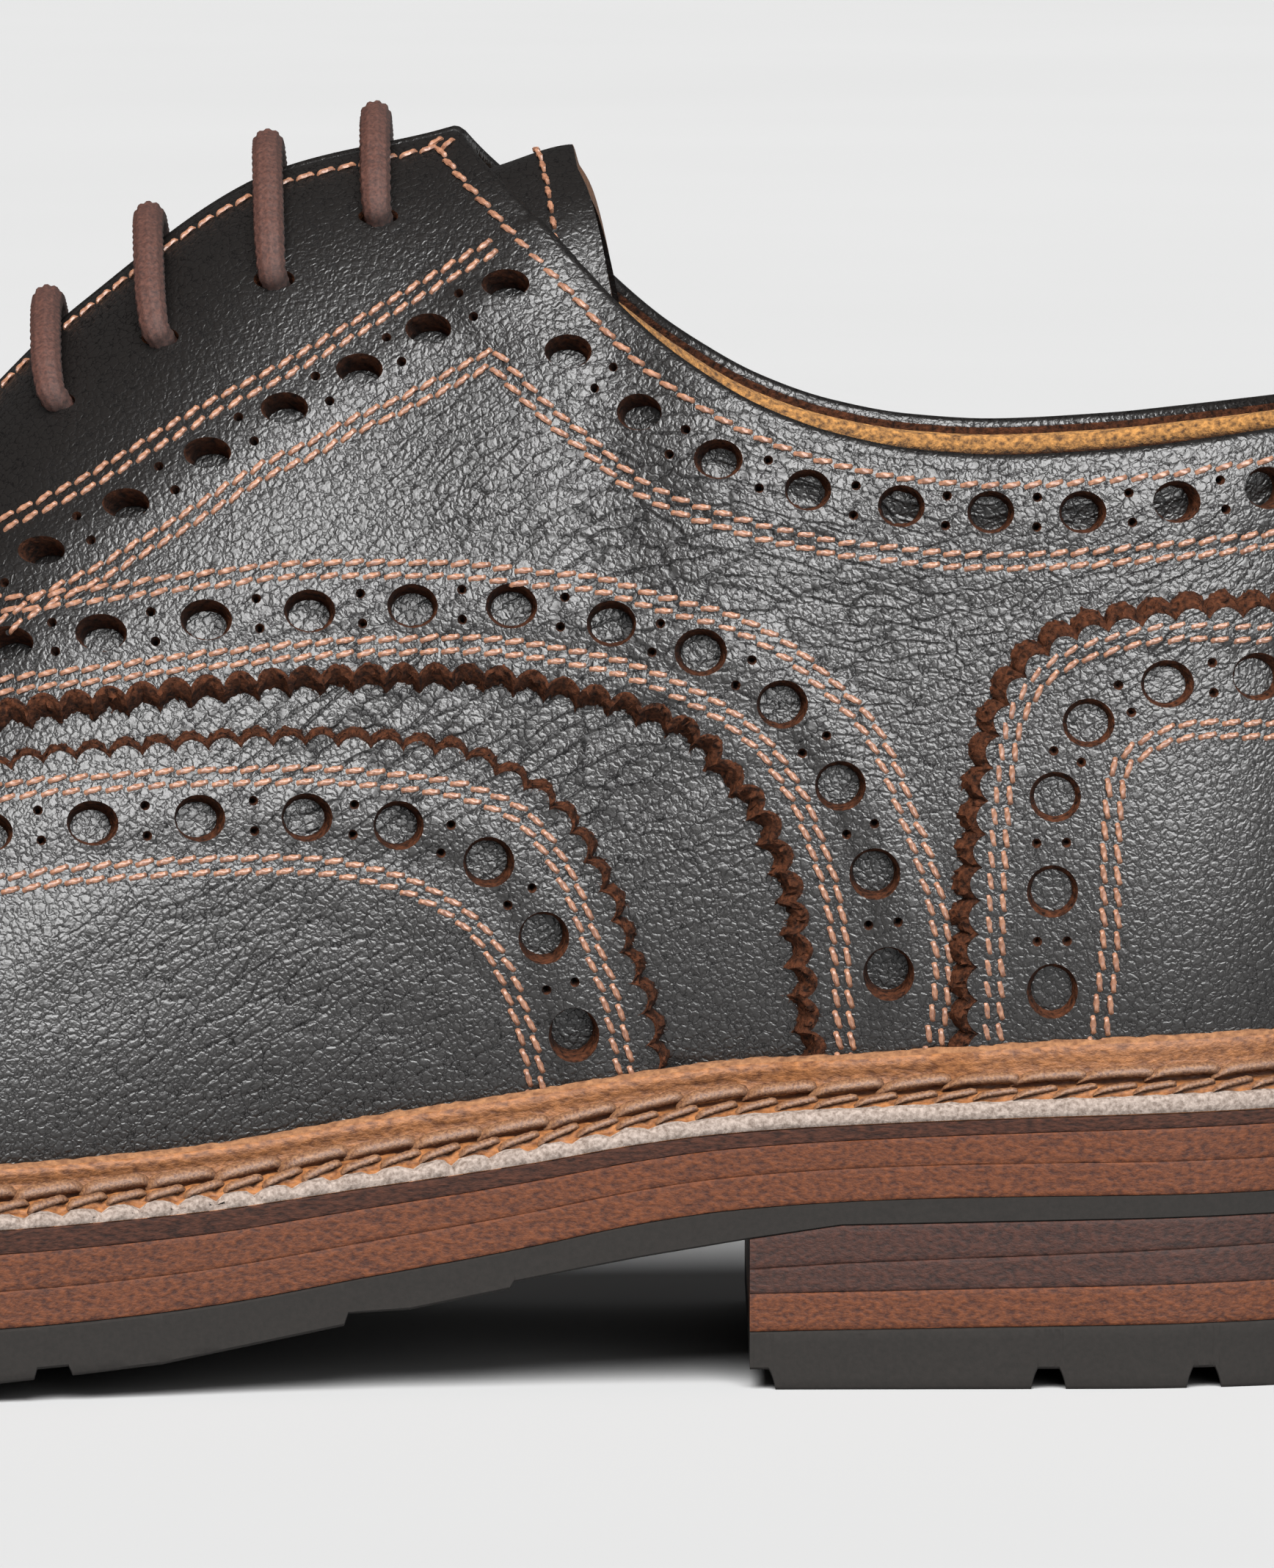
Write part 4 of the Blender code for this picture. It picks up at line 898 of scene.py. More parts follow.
facing_top = through(on_shoe(FACING_BAND_TOP, SKIN))
facing_low = through(on_shoe(FACING_BAND_LOW, SKIN))
topline_low = through(on_shoe(TOPLINE_BAND_LOW, SKIN))
facing_in, topline_in = beside(facing_low, ROW_GAP), beside(topline_low, -ROW_GAP)
i, j = crossing(facing_in[:60], topline_in[:60])
facing_in, topline_in = facing_in[i:], topline_in[j:]
quarter_high = cut_off(through(on_shoe(QUARTER_BAND_TOP, SKIN)))
quarter_down = cut_off(through(on_shoe(QUARTER_BAND_LOW, SKIN)))
edge_row = beside(top_line[14:-4], 2.3)
quarter_rows = (doubled(facing_top, 1) + [facing_low, facing_in, topline_low, topline_in]
                + doubled(quarter_high, -1) + doubled(quarter_down, -1) + [edge_row])
quarter_holes = (holes_along(FACING_HOLES, SKIN, FACING_HOLE) + holes_along(TOPLINE_HOLES, SKIN, FACING_HOLE)
                 + holes_along(QUARTER_HOLES, SKIN, BAND_HOLE)
                 + [(at_height(x, z)[0], EYELET / 2) for x, z in EYELETS])
quarter = Panel(quarter_outline, quarter_holes, quarter_rows)


# Main creases: pixels, half width and depth in millimetres.
CREASES = [([(780, 753), (873, 720), (940, 687)], 1.5, 0.3),
           ([(673, 727), (767, 707), (853, 700)], 1.4, 0.22),
           ([(927, 793), (1020, 773), (1100, 743)], 1.5, 0.3),
           ([(967, 820), (1067, 800), (1167, 777)], 1.3, 0.25),
           ([(1020, 847), (1127, 820), (1233, 800)], 1.5, 0.28),
           ([(1087, 880), (1167, 833), (1247, 800)], 1.4, 0.25),
           ([(580, 727), (660, 713)], 1.4, 0.2),
           ([(1247, 847), (1340, 820), (1420, 810)], 1.6, 0.25),
           ([(340, 973), (433, 933), (500, 913)], 1.5, 0.25),
           ([(467, 1000), (580, 947), (647, 920)], 1.5, 0.32),
           ([(593, 1007), (700, 953), (780, 933)], 1.5, 0.32),
           ([(673, 1027), (793, 973), (873, 953)], 1.5, 0.34),
           ([(727, 1060), (847, 1000), (920, 973)], 1.5, 0.34),
           ([(780, 1093), (887, 1040), (967, 1007)], 1.5, 0.3),
           ([(807, 1133), (913, 1080), (993, 1047)], 1.5, 0.28),
           ([(120, 1300), (400, 1270), (640, 1330)], 2.2, 0.3),
           ([(60, 1365), (350, 1340), (600, 1400)], 2.4, 0.25),
           ([(200, 1240), (430, 1225), (560, 1250)], 1.8, 0.2)]


crease_lines = [(frames(spaced(through(on_shoe(pixels, SKIN)), 0.5)), half, deep)
                for pixels, half, deep in CREASES]


def folded(points):
    """Height of the creases at points of the outer side, each a soft trough below a low ridge."""
    height = np.zeros(len(points))
    for line, half, deep in crease_lines:
        near = ((points > line[0].min(0) - 6) & (points < line[0].max(0) + 6)).all(1)
        if near.any():
            span, side = distance_to(points[near], line)
            height[near] -= deep * (np.exp(-(span / half) ** 2)
                                    - 0.5 * np.exp(-((span * side - 1.7 * half) / half) ** 2))
    return height


def relief(panel, lift, bands=()):
    """Height of the grain over the last: lift, less the pull of each seam, plus the swell of each band, given
    by a line, the distance of its middle from that line, and half its width."""
    points = last_point(panel.uv[:, 0], LATERAL, panel.uv[:, 1], np.full(len(panel.uv), lift))
    height = lift + folded(points)
    for row in panel.rows:
        span, _ = distance_to(points, row)
        height -= 0.25 * np.exp(-(span / 0.55) ** 2)
    for line, offset, half in bands:
        span, side = distance_to(points, frames(spaced(line, 0.5)))
        inside = np.clip(1 - np.abs(span * side - offset) / half, 0, 1)
        height += 0.3 * np.sqrt(inside) * (span > 0)
    return height


def edge_kind(panel, line, reach):
    """Which points of a panel lie within reach of a line."""
    return distance_to(on_last(panel.uv), frames(spaced(line, 0.4)))[0] < reach


def sheet_piece(panel, name, lift, bottom, bands, kinds, seam, stands_for, seed, sides=(LATERAL, MEDIAL),
                deep=-1.4):
    height = relief(panel, lift, bands)
    heap = Heap()
    for side in sides:
        panel.solid(heap, side, height, np.where(panel.hole, deep, bottom), kinds, seam, seed)
    return loose_removed(heap).piece(name, [calf, raw_edge], "upper_leather", stands_for=stands_for)


kinds = np.where(edge_kind(quarter, top_line, 0.3), 1, 0)
quarter_bands = [(facing_top, ROW_GAP + 3.6, 3.4), (topline_low, 4.0, 3.6),
                 (quarter_high, -ROW_GAP - 3.0, 2.9)]
for side, name in ((LATERAL, "outer"), (MEDIAL, "inner")):
    sheet_piece(quarter, f"quarter_{name}_leather", SKIN, 0.05, quarter_bands, kinds, None,
                "quarter_lateral" if side > 0 else "quarter_medial", 3 + side, (side,))

# Heel counter.
counter_gimp = cut_off(through(np.concatenate([on_shoe(COUNTER_GIMP[:-2], COUNTER_SKIN),
                                               at_height([15, 9], [76.8, 77.4])])))
cut_counter = gimped(counter_gimp)
cut_counter = cut_counter[cut_counter[:, 0] > 0.004]
cut_counter = np.concatenate([cut_counter, [(0.0, cut_counter[-1, 1])]])
back = np.stack([np.zeros(60), np.linspace(cut_counter[-1, 1], above_rim(0.0, FOOT)[0], 60)], -1)[1:]
counter_outline = np.concatenate([cut_counter, back, edge_line(np.linspace(0, cut_counter[0, 0], 130))[1:-1]])
counter_high = cut_off(through(np.concatenate([on_shoe(COUNTER_BAND_TOP[:-2], COUNTER_SKIN),
                                               at_height([15, 9], [73.6, 74.2])])))
counter_down = cut_off(through(np.concatenate([on_shoe(COUNTER_BAND_LOW[:-2], COUNTER_SKIN),
                                               at_height([15, 9], [65.7, 66.2])])))
counter_rows = doubled(counter_high, 1) + doubled(counter_down, -1)
counter = Panel(counter_outline, holes_along(COUNTER_HOLES, COUNTER_SKIN, BAND_HOLE), counter_rows)
seam = counter.uv[:, 0] < 1e-7
sheet_piece(counter, "heel_counter_leather", COUNTER_SKIN, SKIN + 0.05, [(counter_high, ROW_GAP + 3.2, 3.0)],
            np.zeros(len(seam)), seam, "heel_counter", 5, deep=SKIN)

# Wing over the toe, with its peak drawn back along the ridge.
wing_places = np.array([(165, 57.6), (180, 55.0), (190, 55.4), (200, 57.6), (207, 60.6)])
beyond = at_height(*wing_places.T)
rise = np.clip((beyond[:, 1] - 0.62) / 0.38, 0, 1)
beyond[:, 0] = share_at(wing_places[:, 0] - WING_PEAK * rise ** 2 * (3 - 2 * rise))
peak = np.array([(share_at(203.0), 1.0)])
wing_gimp = cut_off(through(np.concatenate([peak, beyond[::-1], on_shoe(WING_GIMP, SKIN)])))
cut_wing = gimped(wing_gimp)
cut_wing = cut_wing[cut_wing[:, 1] < 0.999]
wing_outline = np.concatenate([
    cut_wing[::-1], np.stack([np.linspace(share_at(203.6), 1, 110), np.ones(110)], -1),
    np.stack([np.ones(50), np.linspace(1, above_rim(1.0, FOOT)[0], 50)], -1)[1:-1],
    edge_line(np.linspace(cut_wing[-1, 0], 1, 260))[::-1][:-1]])
wing_head = through(np.concatenate([peak, beyond[::-1], on_shoe(WING_GIMP[:2], SKIN)]))
ahead = []
for distance in (-2.2, -10.9):
    tail = beside(wing_head, distance)
    ahead.append(tail[(tail[:, 0] > share_at(155)) & (tail[:, 1] < 0.985)][::8])
wing_high = cut_off(through(np.concatenate([ahead[0], on_shoe(WING_BAND_TOP, SKIN)])))
wing_down = cut_off(through(np.concatenate([ahead[1], on_shoe(WING_BAND_LOW, SKIN)])))
wing_rows = doubled(wing_high, -1) + doubled(wing_down, -1)
wing = Panel(wing_outline, holes_along(WING_HOLES, SKIN, BAND_HOLE), wing_rows)
seam = (wing.uv[:, 1] > 1 - 1e-7) | (wing.uv[:, 0] > 1 - 1e-7)
sheet_piece(wing, "wing_cap_leather", SKIN, 0.05, [(wing_high, -ROW_GAP - 3.1, 2.9)], np.zeros(len(seam)),
            seam, "toe_wing", 7)

# Vamp and lined back part. The vamp lies lower below the panels, so that the punched holes are deep.
vamp_u = share_at(np.concatenate([[9, 9.3, 10, 11.2], np.arange(13, 296, 1.6), [296.5, 297.5, 298]]))
vamp_top = upper_top(vamp_u)
vamp_top = np.where(vamp_top < 1, vamp_top - 0.007, vamp_top)
near_top = np.array([0, 0.25, 0.6, 1.0, 1.4, 1.75, 2.0, 2.2, 2.45, 2.9, 3.6])  # millimetres below the topline
below_top = last_raw(vamp_u, LATERAL, vamp_top) - last_raw(vamp_u, LATERAL, vamp_top - 0.01)
girth = np.linalg.norm(below_top, axis=1) / 0.01  # millimetres to one share of t
rows = 62
heap = Heap()
for lift in (0.0, -WALL):
    if lift:
        low = np.linspace(0, 1, rows - len(near_top) + 1)[None, :-1] * (vamp_top - 4.2 / girth)[:, None]
        levels = np.concatenate([low, (vamp_top[:, None] - near_top[::-1] / girth[:, None])], 1)
        roll = (0.55 * np.exp(-((near_top[::-1] - 1.1) / 0.75) ** 4)
                - 0.35 * np.exp(-((near_top[::-1] - 2.1) / 0.18) ** 2))
        lifts = np.concatenate([np.full(low.shape, lift), lift - np.tile(roll, (len(vamp_u), 1))], 1)
        lifts = np.where((vamp_top < 1)[:, None], lifts, lift)
        lifts[:, -1] = lift + 0.3
    else:
        levels = np.linspace(0, 1, rows)[None, :] * vamp_top[:, None]
        places = np.stack([np.repeat(vamp_u, rows), levels.ravel()], -1)
        points = on_last(places)
        lifts = np.zeros(len(points))
        for line, towards in ((quarter_gimp, -1), (wing_gimp, 1)):
            span, side = distance_to(points, frames(spaced(line, 0.7)))
            within = np.clip((-span * side * towards - 1.2) / 1.6, 0, 1)
            low = np.clip((upper_top(places[:, 0]) - places[:, 1]) * np.repeat(girth, rows) / 2 - 2, 0, 1)
            lifts = np.minimum(lifts, -0.8 * within - 0.7 * within * low)
        lifts = (lifts + folded(points)).reshape(levels.shape)
    columns = np.concatenate([last_point(vamp_u[:, None], LATERAL, levels, lifts),
                              last_point(vamp_u[:, None], MEDIAL, levels, lifts)[::-1][1:-1]])
    flow = np.stack([np.broadcast_to(vamp_u[:, None], levels.shape), levels], -1) * UNROLLED
    flow = np.concatenate([flow, flow[::-1][1:-1]])
    faces = quads(len(columns), rows, wrap_rows=True)
    heap.add(columns, faces[:, ::-1] if lift == 0 else faces, 0 if lift == 0 else 1, flow)
    if lift:
        level = np.tile(np.arange(rows - 1), len(columns))
        heap.which[-len(level):] = np.where(level >= rows - len(near_top) + 1 + 3, 2, 1).tolist()
count = len(columns)
for j, flip in ((0, False), (rows - 1, True)):
    i = np.arange(count)
    a, b = i * rows + j, (i + 1) % count * rows + j
    ring = np.stack([a, b, b + count * rows, a + count * rows], -1)
    heap.faces += (ring[:, ::-1] if flip else ring).tolist()
    heap.which += [2 if j else 1] * count
loose_removed(heap).piece("vamp_and_lining", [calf, lining_calf, lining_band], "upper_leather",
                          stands_for="upper", sharp=60)


# Stitches.
def thread_runs(heap, points, run, left, out, length, radius, plies=2, rings=8, corners=8, sink=0.12, seed=11,
                lean=0.1, lay=7.0, ridges=0.2):
    """Short lengths of twisted thread, each with its two ends drawn down into the leather."""
    random = np.random.default_rng(seed)
    tilt = random.normal(lean, 0.04, len(points))[:, None]
    run, left = run + tilt * left, left - tilt * run
    along = np.linspace(-0.5, 0.5, rings)
    arch = radius * 1.3 * (1 - (2 * along) ** 6) - sink
    thick = radius * np.sqrt(np.clip(1 - (2 * along) ** 6 * 0.8, 0, 1))
    angle = np.linspace(0, 2 * math.pi, corners, endpoint=False)
    twist = plies * (angle[None, :] + along[:, None] * length / (radius * lay) * 2 * math.pi)
    size = thick[:, None] * (1 + ridges * np.cos(twist))
    mesh = (points[:, None, None] + run[:, None, None] * (along * length)[None, :, None, None]
            + left[:, None, None] * (size * np.cos(angle))[None, :, :, None]
            + out[:, None, None] * (arch[:, None] + size * np.sin(angle) * 0.85)[None, :, :, None])
    faces = quads(rings, corners, wrap_columns=True)
    number = np.arange(len(points))[:, None, None] * rings * corners
    heap.add(mesh, (faces[None] + number).reshape(-1, 4))
    for end, flip in ((0, True), (rings - 1, False)):
        cap = np.arange(corners) + end * corners
        cap = cap[::-1] if flip else cap
        base = heap.count - len(points) * rings * corners
        heap.faces += (cap[None] + np.arange(len(points))[:, None] * rings * corners + base).tolist()
        heap.which += [0] * len(points)


def needle_holes(heap, points, run, left, out, size):
    """Dimples where the needle went through, as flat eight-sided cones painted near-black, a painted shade."""
    angle = np.linspace(0, 2 * math.pi, 8, endpoint=False)
    ring = (points[:, None] + run[:, None] * (np.cos(angle) * size * 0.8)[None, :, None]
            + left[:, None] * (np.sin(angle) * size)[None, :, None] - out[:, None] * 0.02)
    deep = points[:, None] - out[:, None] * 0.3
    mesh = np.concatenate([ring, deep], 1)
    faces = np.array([(k, (k + 1) % 8, 8) for k in range(8)])
    number = np.arange(len(points))[:, None, None] * 9
    heap.add(mesh, (faces[None] + number).reshape(-1, 3))


def seam(rows, lift, side, threads, holes):
    """Stitches along the rows, finer on the outer side, which is seen most closely."""
    rings, corners = (9, 7) if side == LATERAL else (6, 5)
    for k, row in enumerate(rows):
        marks = spaced(row, STITCH / 2, whole=True)
        points, run, left, out = frames(marks, side, lift)
        thread_runs(threads, points[1::2], run[1::2], left[1::2], out[1::2], SEAM_LENGTH, SEAM_THREAD,
                    rings=rings, corners=corners, seed=k + 20, sink=0.2, lean=0.22, ridges=0.16)
        needle_holes(holes, points[2::2] - out[2::2] * 0.15, run[2::2], left[2::2], out[2::2], 0.33)


dimples = Heap()
for side, name in ((LATERAL, "outer"), (MEDIAL, "inner")):
    threads = Heap()
    seam(quarter_rows, SKIN, side, threads, dimples)
    seam(counter_rows, COUNTER_SKIN, side, threads, dimples)
    seam(wing_rows, SKIN, side, threads, dimples)
    threads.piece(f"seam_threads_{name}", thread, "upper_leather")
dimples.piece("needle_holes", needle_hole, "upper_leather")

# Raw gimped edges, bevelled outwards and rough, with loose fibres standing on them.
fuzz = Heap()
for line, lift, drop_to, reach in ((quarter_gimp, SKIN, 0.05, -1.9), (wing_gimp, SKIN, 0.1, 1.0),
                                   (counter_gimp, COUNTER_SKIN, SKIN, 1.9)):
    base = spaced(line, TOOTH / 10)
    shift = beside(base, reach) - base
    edge = gimped(line)
    keep = (edge[:, 1] < 0.99) & (edge[:, 0] > 0.006) & (edge[:, 1] > above_rim(edge[:, 0], -0.2))
    if line is quarter_gimp:
        keep &= edge[:, 0] < front_u
    edge, shift = edge[keep], shift[keep]
    steps = np.array([-0.12, 0.06, 0.25, 0.5, 0.75, 0.93, 1.0])
    for side in (LATERAL, MEDIAL):
        random = np.random.default_rng(77 + side)
        uv = edge[:, None] + shift[:, None] * steps[None, :, None]
        level = (lift + 0.02 + (drop_to - lift - 0.3) * np.clip(steps, 0, 1) ** 2.2
                 + 0.12 * (steps > 0) * (steps < 0.6))
        loose = np.minimum(1, 5 * steps.clip(0))
        level = level[None] + random.normal(0, 0.17, uv.shape[:2]) * loose
        points = last_point(uv[..., 0], side, uv[..., 1], level)
        points = points + random.normal(0, 0.1, points.shape) * loose[None, :, None]
        faces = quads(len(edge), len(steps))
        fuzz.add(points, faces if (reach < 0) == (side == LATERAL) else faces[:, ::-1])
        pick = random.integers(0, len(edge) * len(steps), len(edge) * (8 if side == LATERAL else 3))
        flat = points.reshape(-1, 3)[pick]
        out = outward(uv[..., 0].ravel()[pick], side, uv[..., 1].ravel()[pick])
        away = unit(out * 0.35 + random.normal(0, 0.55, (len(pick), 3)))
        length = random.uniform(0.3, 0.75, (len(pick), 1))
        across = unit(np.cross(away, out + 0.1))
        other = np.cross(away, across)
        mesh = np.stack([flat + FIBRE * across, flat + FIBRE * (-0.5 * across + 0.87 * other),
                         flat + FIBRE * (-0.5 * across - 0.87 * other), flat + away * length], 1)
        faces = np.array([(0, 1, 3), (1, 2, 3), (2, 0, 3), (2, 1, 0)])
        number = np.arange(len(pick))[:, None, None] * 4
        fuzz.add(mesh, (faces[None] + number).reshape(-1, 3))
fuzz.piece("edge_fibres", raw_edge, "upper_leather")


# Welt, as a ring of sections round the shoe. Each corner of the section is a share of the ledge and the rim.
ring_u = share_at(np.concatenate([[9, 9.05, 9.2, 9.5, 10, 10.7], np.arange(11.5, 295.5, 0.7),
                                  [296, 296.8, 297.4, 297.8, 297.95, 298]]))
WELT_SECTION = [(0.97, 0.0), (1.0, 0.015), (1.005, 0.1), (1.0, 0.17), (0.975, 0.22), (0.93, 0.245),
                (0.87, 0.25), (0.82, 0.255), (0.77, 0.3), (0.71, 0.345), (0.65, 0.37), (0.6, 0.385),
                (0.54, 0.38), (0.46, 0.38), (0.37, 0.4), (0.29, 0.46), (0.25, 0.55), (0.245, 0.67),
                (0.265, 0.74), (0.29, 0.81), (0.29, 0.88), (0.265, 0.935), (0.22, 0.975), (0.17, 0.995),
                (0.11, 1.0), (0.05, 0.995), (0.0, 0.985)]


def skin_at(u):
    """Height of the outermost leather over the last at the rim, smoothed from piece to piece."""
    x = feather(u, LATERAL)[0]
    quarter_x, wing_x, counter_x = (feather(l[-1 if l is not counter_gimp else 0, 0], LATERAL)[0]
                                    for l in (quarter_gimp, wing_gimp, counter_gimp))
    past_counter, past_quarter, past_wing = (np.clip((x - at) / 4, 0, 1)
                                             for at in (counter_x + 1.5, quarter_x + 1.5, wing_x - 5.5))
    return COUNTER_SKIN * (1 - past_counter) + SKIN * (past_counter * (1 - past_quarter) + past_wing) + 0.1


def welt_ring(u, side):
    """Wall and edge of the welt at the seat, the rim's height, and the run along the edge."""
    edge = np.stack(sole_edge(u, side), -1)
    t = share_where(u, side, lambda p: p[..., 2] < seat(p[..., 0]) + 0.6 * rim_height(p[..., 0]))
    wall = last_point(u, side, t, skin_at(u))[:, :2]
    return wall, edge, rim_height(feather(u, side)[0]), run_along(edge)


WHEEL = 3.9  # from one mark of the wheel to the next, and from one stitch of the finer row to the next


def wheeled(run, x):
    """Share of a wheel mark's pad at each place: long pads with narrow notches, fading out at the heel."""
    pad = 1 - np.abs(2 * ((run / WHEEL) % 1) - 1) ** 3
    strength = np.clip((x - 78) / 16, 0.12, 1)
    return 1 - (1 - pad) * strength, strength


heap = Heap()
halves = []
for side in (LATERAL, MEDIAL):
    wall, edge, rim, run = welt_ring(ring_u, side)
    x = feather(ring_u, side)[0]
    pad, strength = wheeled(run, x)
    random = np.random.default_rng(5)
    rough = random.normal(0, 1, (len(ring_u), len(WELT_SECTION)))
    section = []
    for k, (across, up) in enumerate(WELT_SECTION):
        share, height = np.full(len(x), across), up * rim
        if 1 <= k <= 7:
            share = share - (1 - pad) * 0.06 * (1 if k < 5 else 0.5)
            height = height - (1 - pad) * (0.8 if 3 <= k <= 7 else 0.05)
            height = height + rough[:, k] * 0.05 * (k >= 4)
        if 8 <= k <= 11:
            height = height - (1 - pad) * 0.75 + 0.3 * strength
        if k >= 22:
            height = height + rough[:, k] * 0.07
            share = share + rough[:, k] * 0.006
        xy = wall + (edge - wall) * share[:, None]
        section.append(np.column_stack([xy, seat(xy[:, 0]) + 0.02 + height]))
    for up in (0.6, 0.0):
        section.append(np.column_stack([wall, seat(wall[:, 0]) + 0.02 + up * rim]))
    halves.append(np.stack(section, 1))
ring = np.concatenate([halves[0], halves[1][::-1][1:-1]])
count, corners = ring.shape[:2]
faces = quads(count, corners, wrap_rows=True, wrap_columns=True)
column = np.tile(np.arange(corners), count)
which = np.select([(column >= 1) & (column < 7), (column >= 21) & (column < 26)], [1, 2], 0)
make("welt_strip", ring.reshape(-1, 3), faces, [welt_calf, welt_lip, welt_rough], "welt_leather",
     stands_for="welt", which=which, sharp=70)

# Its two rows of stitching: heavy in the groove below the rim, finer along the wheel marks. Each has its
# share of the way to the edge and of the rim's height, then its pitch, length, radius, strands and lean.
WELT_ROWS = [(0.43, 0.49, 6.6, 7.4, 0.72, 5, 0.09), (0.74, 0.34, WHEEL, 4.3, 0.42, 4, 0.28)]
welt_threads = Heap()
for side in (LATERAL, MEDIAL):
    wall, edge, rim, run = welt_ring(ring_u, side)
    for share, up, pitch, length, radius, plies, lean in WELT_ROWS:
        xy = wall + (edge - wall) * share
        line = np.column_stack([xy, seat(xy[:, 0]) + up * rim])
        run = run_along(line)
        marks = np.arange(pitch if pitch == WHEEL else pitch / 2, run[-1] - pitch / 4, pitch)
        ahead = unit(at_marks(marks + 0.5, run, line) - at_marks(marks - 0.5, run, line))
        to_edge = unit(np.column_stack([at_marks(marks, run, edge - wall), 0 * marks]))
        out = unit(to_edge * 0.6 + np.array([0, 0, 0.8]))
        thread_runs(welt_threads, at_marks(marks, run, line), ahead, np.cross(out, ahead), out, length,
                    radius, plies, 14, 12, sink=0.45 * radius, seed=41, lean=lean * side, lay=8.0, ridges=0.13)
welt_threads.piece("welt_stitching", welt_thread, "welt_leather")


# Sole: layers with slightly eased edges, drawn by closely spaced sections.
def layer(name, xs, top, bottom, finish, slot_name, stands_for, ease=0.07, proud=0.0, seed=1):
    """Layer between two height curves, as wide as the sole; ease rounds its edges, proud pushes them out."""
    xs = np.asarray(xs, float)
    u = np.arccos(np.clip(1 - 2 * xs / SOLE_LENGTH, -1, 1)) / math.pi
    low, high = np.array([bottom(x) for x in xs]), np.array([top(x) for x in xs])
    outline = [sole_edge(u, side)[1] for side in (LATERAL, MEDIAL)]
    centre = middle(np.clip(xs, FEATHER_START, FEATHER_END))
    marks = np.array([0, 0.02, 0.06, 0.2, 0.4, 0.6, 0.8, 0.94, 0.98, 1.0])
    inset = ease * np.clip(1 - np.minimum(marks, 1 - marks) / 0.06, 0, 1) ** 2
    random = np.random.default_rng(seed)
    profile = []
    for side, y in zip((1, -1), outline):
        strip = []
        for k, mark in enumerate(marks if side > 0 else marks[::-1]):
            into = inset[k if side > 0 else -1 - k] - proud
            wide = np.maximum(np.abs(y - centre) - into, 0.01) + random.normal(0, 0.012, len(xs))
            strip.append(np.column_stack([xs, centre + side * wide, low + (high - low) * mark]))
        profile += strip
    sections = np.stack(profile, 1)
    faces = tube(len(xs), sections.shape[1])
    return make(name, sections.reshape(-1, 3), faces, finish, slot_name, stands_for=stands_for, sharp=30)


sole_xs = np.unique(SOLE_LENGTH * (1 - np.cos(math.pi * np.linspace(0.012, 0.988, 420))) / 2)
layer("midsole_dark_edge", sole_xs, lambda x: seat(x) - 0.01, lambda x: dark_bottom(x) + 0.01, dark_leather,
      "midsole_dark_leather", "midsole_dark", proud=-0.1)
layer("midsole_upper_edge", sole_xs, lambda x: dark_bottom(x) - 0.01, lambda x: stack_split(x) + 0.01,
      stacked_leather, "stacked_leather", "midsole_upper", seed=2)
layer("midsole_lower_edge", sole_xs, lambda x: stack_split(x) - 0.01, lambda x: stack_bottom(x) + 0.01,
      stacked_leather, "stacked_leather", "midsole_lower", seed=3)
tread = straight(OUTSOLE_BOTTOM)
tread_xs = np.unique(np.concatenate([sole_xs, [HEEL_LENGTH], [x + d for x, _ in OUTSOLE_BOTTOM if 76 < x < 226
                                                             for d in (0, -0.12, 0.12)]]))
layer("outsole_rubber", tread_xs, lambda x: stack_bottom(x) - 0.01,
      lambda x: tread(x) + (0.01 if x <= HEEL_LENGTH else 0), rubber, "sole_rubber", "outsole", ease=0.3,
      seed=4)
heel_xs = np.append(sole_xs[sole_xs < HEEL_LENGTH - 0.8], HEEL_LENGTH - 0.5)
heel_levels = [tread] + [straight(table) for table in LIFT_BOTTOMS]
for i, finish in enumerate((dark_lift, dark_lift, stacked_leather)):
    layer(f"heel_lift_{i + 1}_edge", heel_xs, lambda x: heel_levels[i](x) - 0.01,
          lambda x: heel_levels[i + 1](x) + 0.01, finish, "stacked_leather", f"heel_lift_{i + 1}", ease=0.1,
          seed=6 + i)
notches = [(HEEL_LENGTH * share - NOTCH_WIDTH / 2, HEEL_LENGTH * share + NOTCH_WIDTH / 2)
           for share in NOTCHES]
notches.append((HEEL_LENGTH - NOTCH_WIDTH, HEEL_LENGTH + NOTCH_WIDTH))


def top_piece_bottom(x):
    """Underside of the top piece: flat, with notches that round off at their mouths."""
    deep = max(min(x - start, end - x) for start, end in notches)
    return NOTCH_DEPTH * min(1.0, max(0.0, (deep + 0.35) / 0.6)) ** 0.6 if deep > -0.35 else 0.0


mouths = [np.linspace(start - 0.4, min(end + 0.4, HEEL_LENGTH - 0.5), 22) for start, end in notches]
piece_xs = np.unique(np.concatenate([heel_xs] + mouths))
layer("heel_top_piece_rubber", piece_xs, lambda x: heel_levels[3](x) - 0.01, top_piece_bottom, rubber,
      "sole_rubber", "heel_top_piece", ease=0.25, seed=9)

# Insole, crowned a little along its middle.
inset = WALL + GAP + 0.5
insole_xs = np.concatenate([FEATHER_START + inset + np.array([0.05, 0.4, 1, 2, 3.5]), np.arange(17, 284, 2.0),
                            FEATHER_END - inset - np.array([8, 6, 4, 2.5, 1.2, 0.5, 0.1])])
share = rounded(insole_xs, FEATHER_START + inset, FEATHER_END - inset, HEEL_ROUND - inset,
                TOE_ROUND - TOE_LEDGE - inset)
across = np.linspace(-1, 1, 19)
wide = (half_width(insole_xs) - inset) * share
surface = []
for k, c in enumerate(across):
    height = seat(insole_xs) + GAP + INSOLE + 0.5 * (1 - c * c) - 0.5
    surface.append(np.column_stack([insole_xs, middle(insole_xs) + c * wide, height]))
for c in across[::-1]:
    surface.append(np.column_stack([insole_xs, middle(insole_xs) + c * wide, seat(insole_xs) + GAP]))
surface = np.stack(surface, 1)
faces = tube(len(insole_xs), surface.shape[1], flip=True)
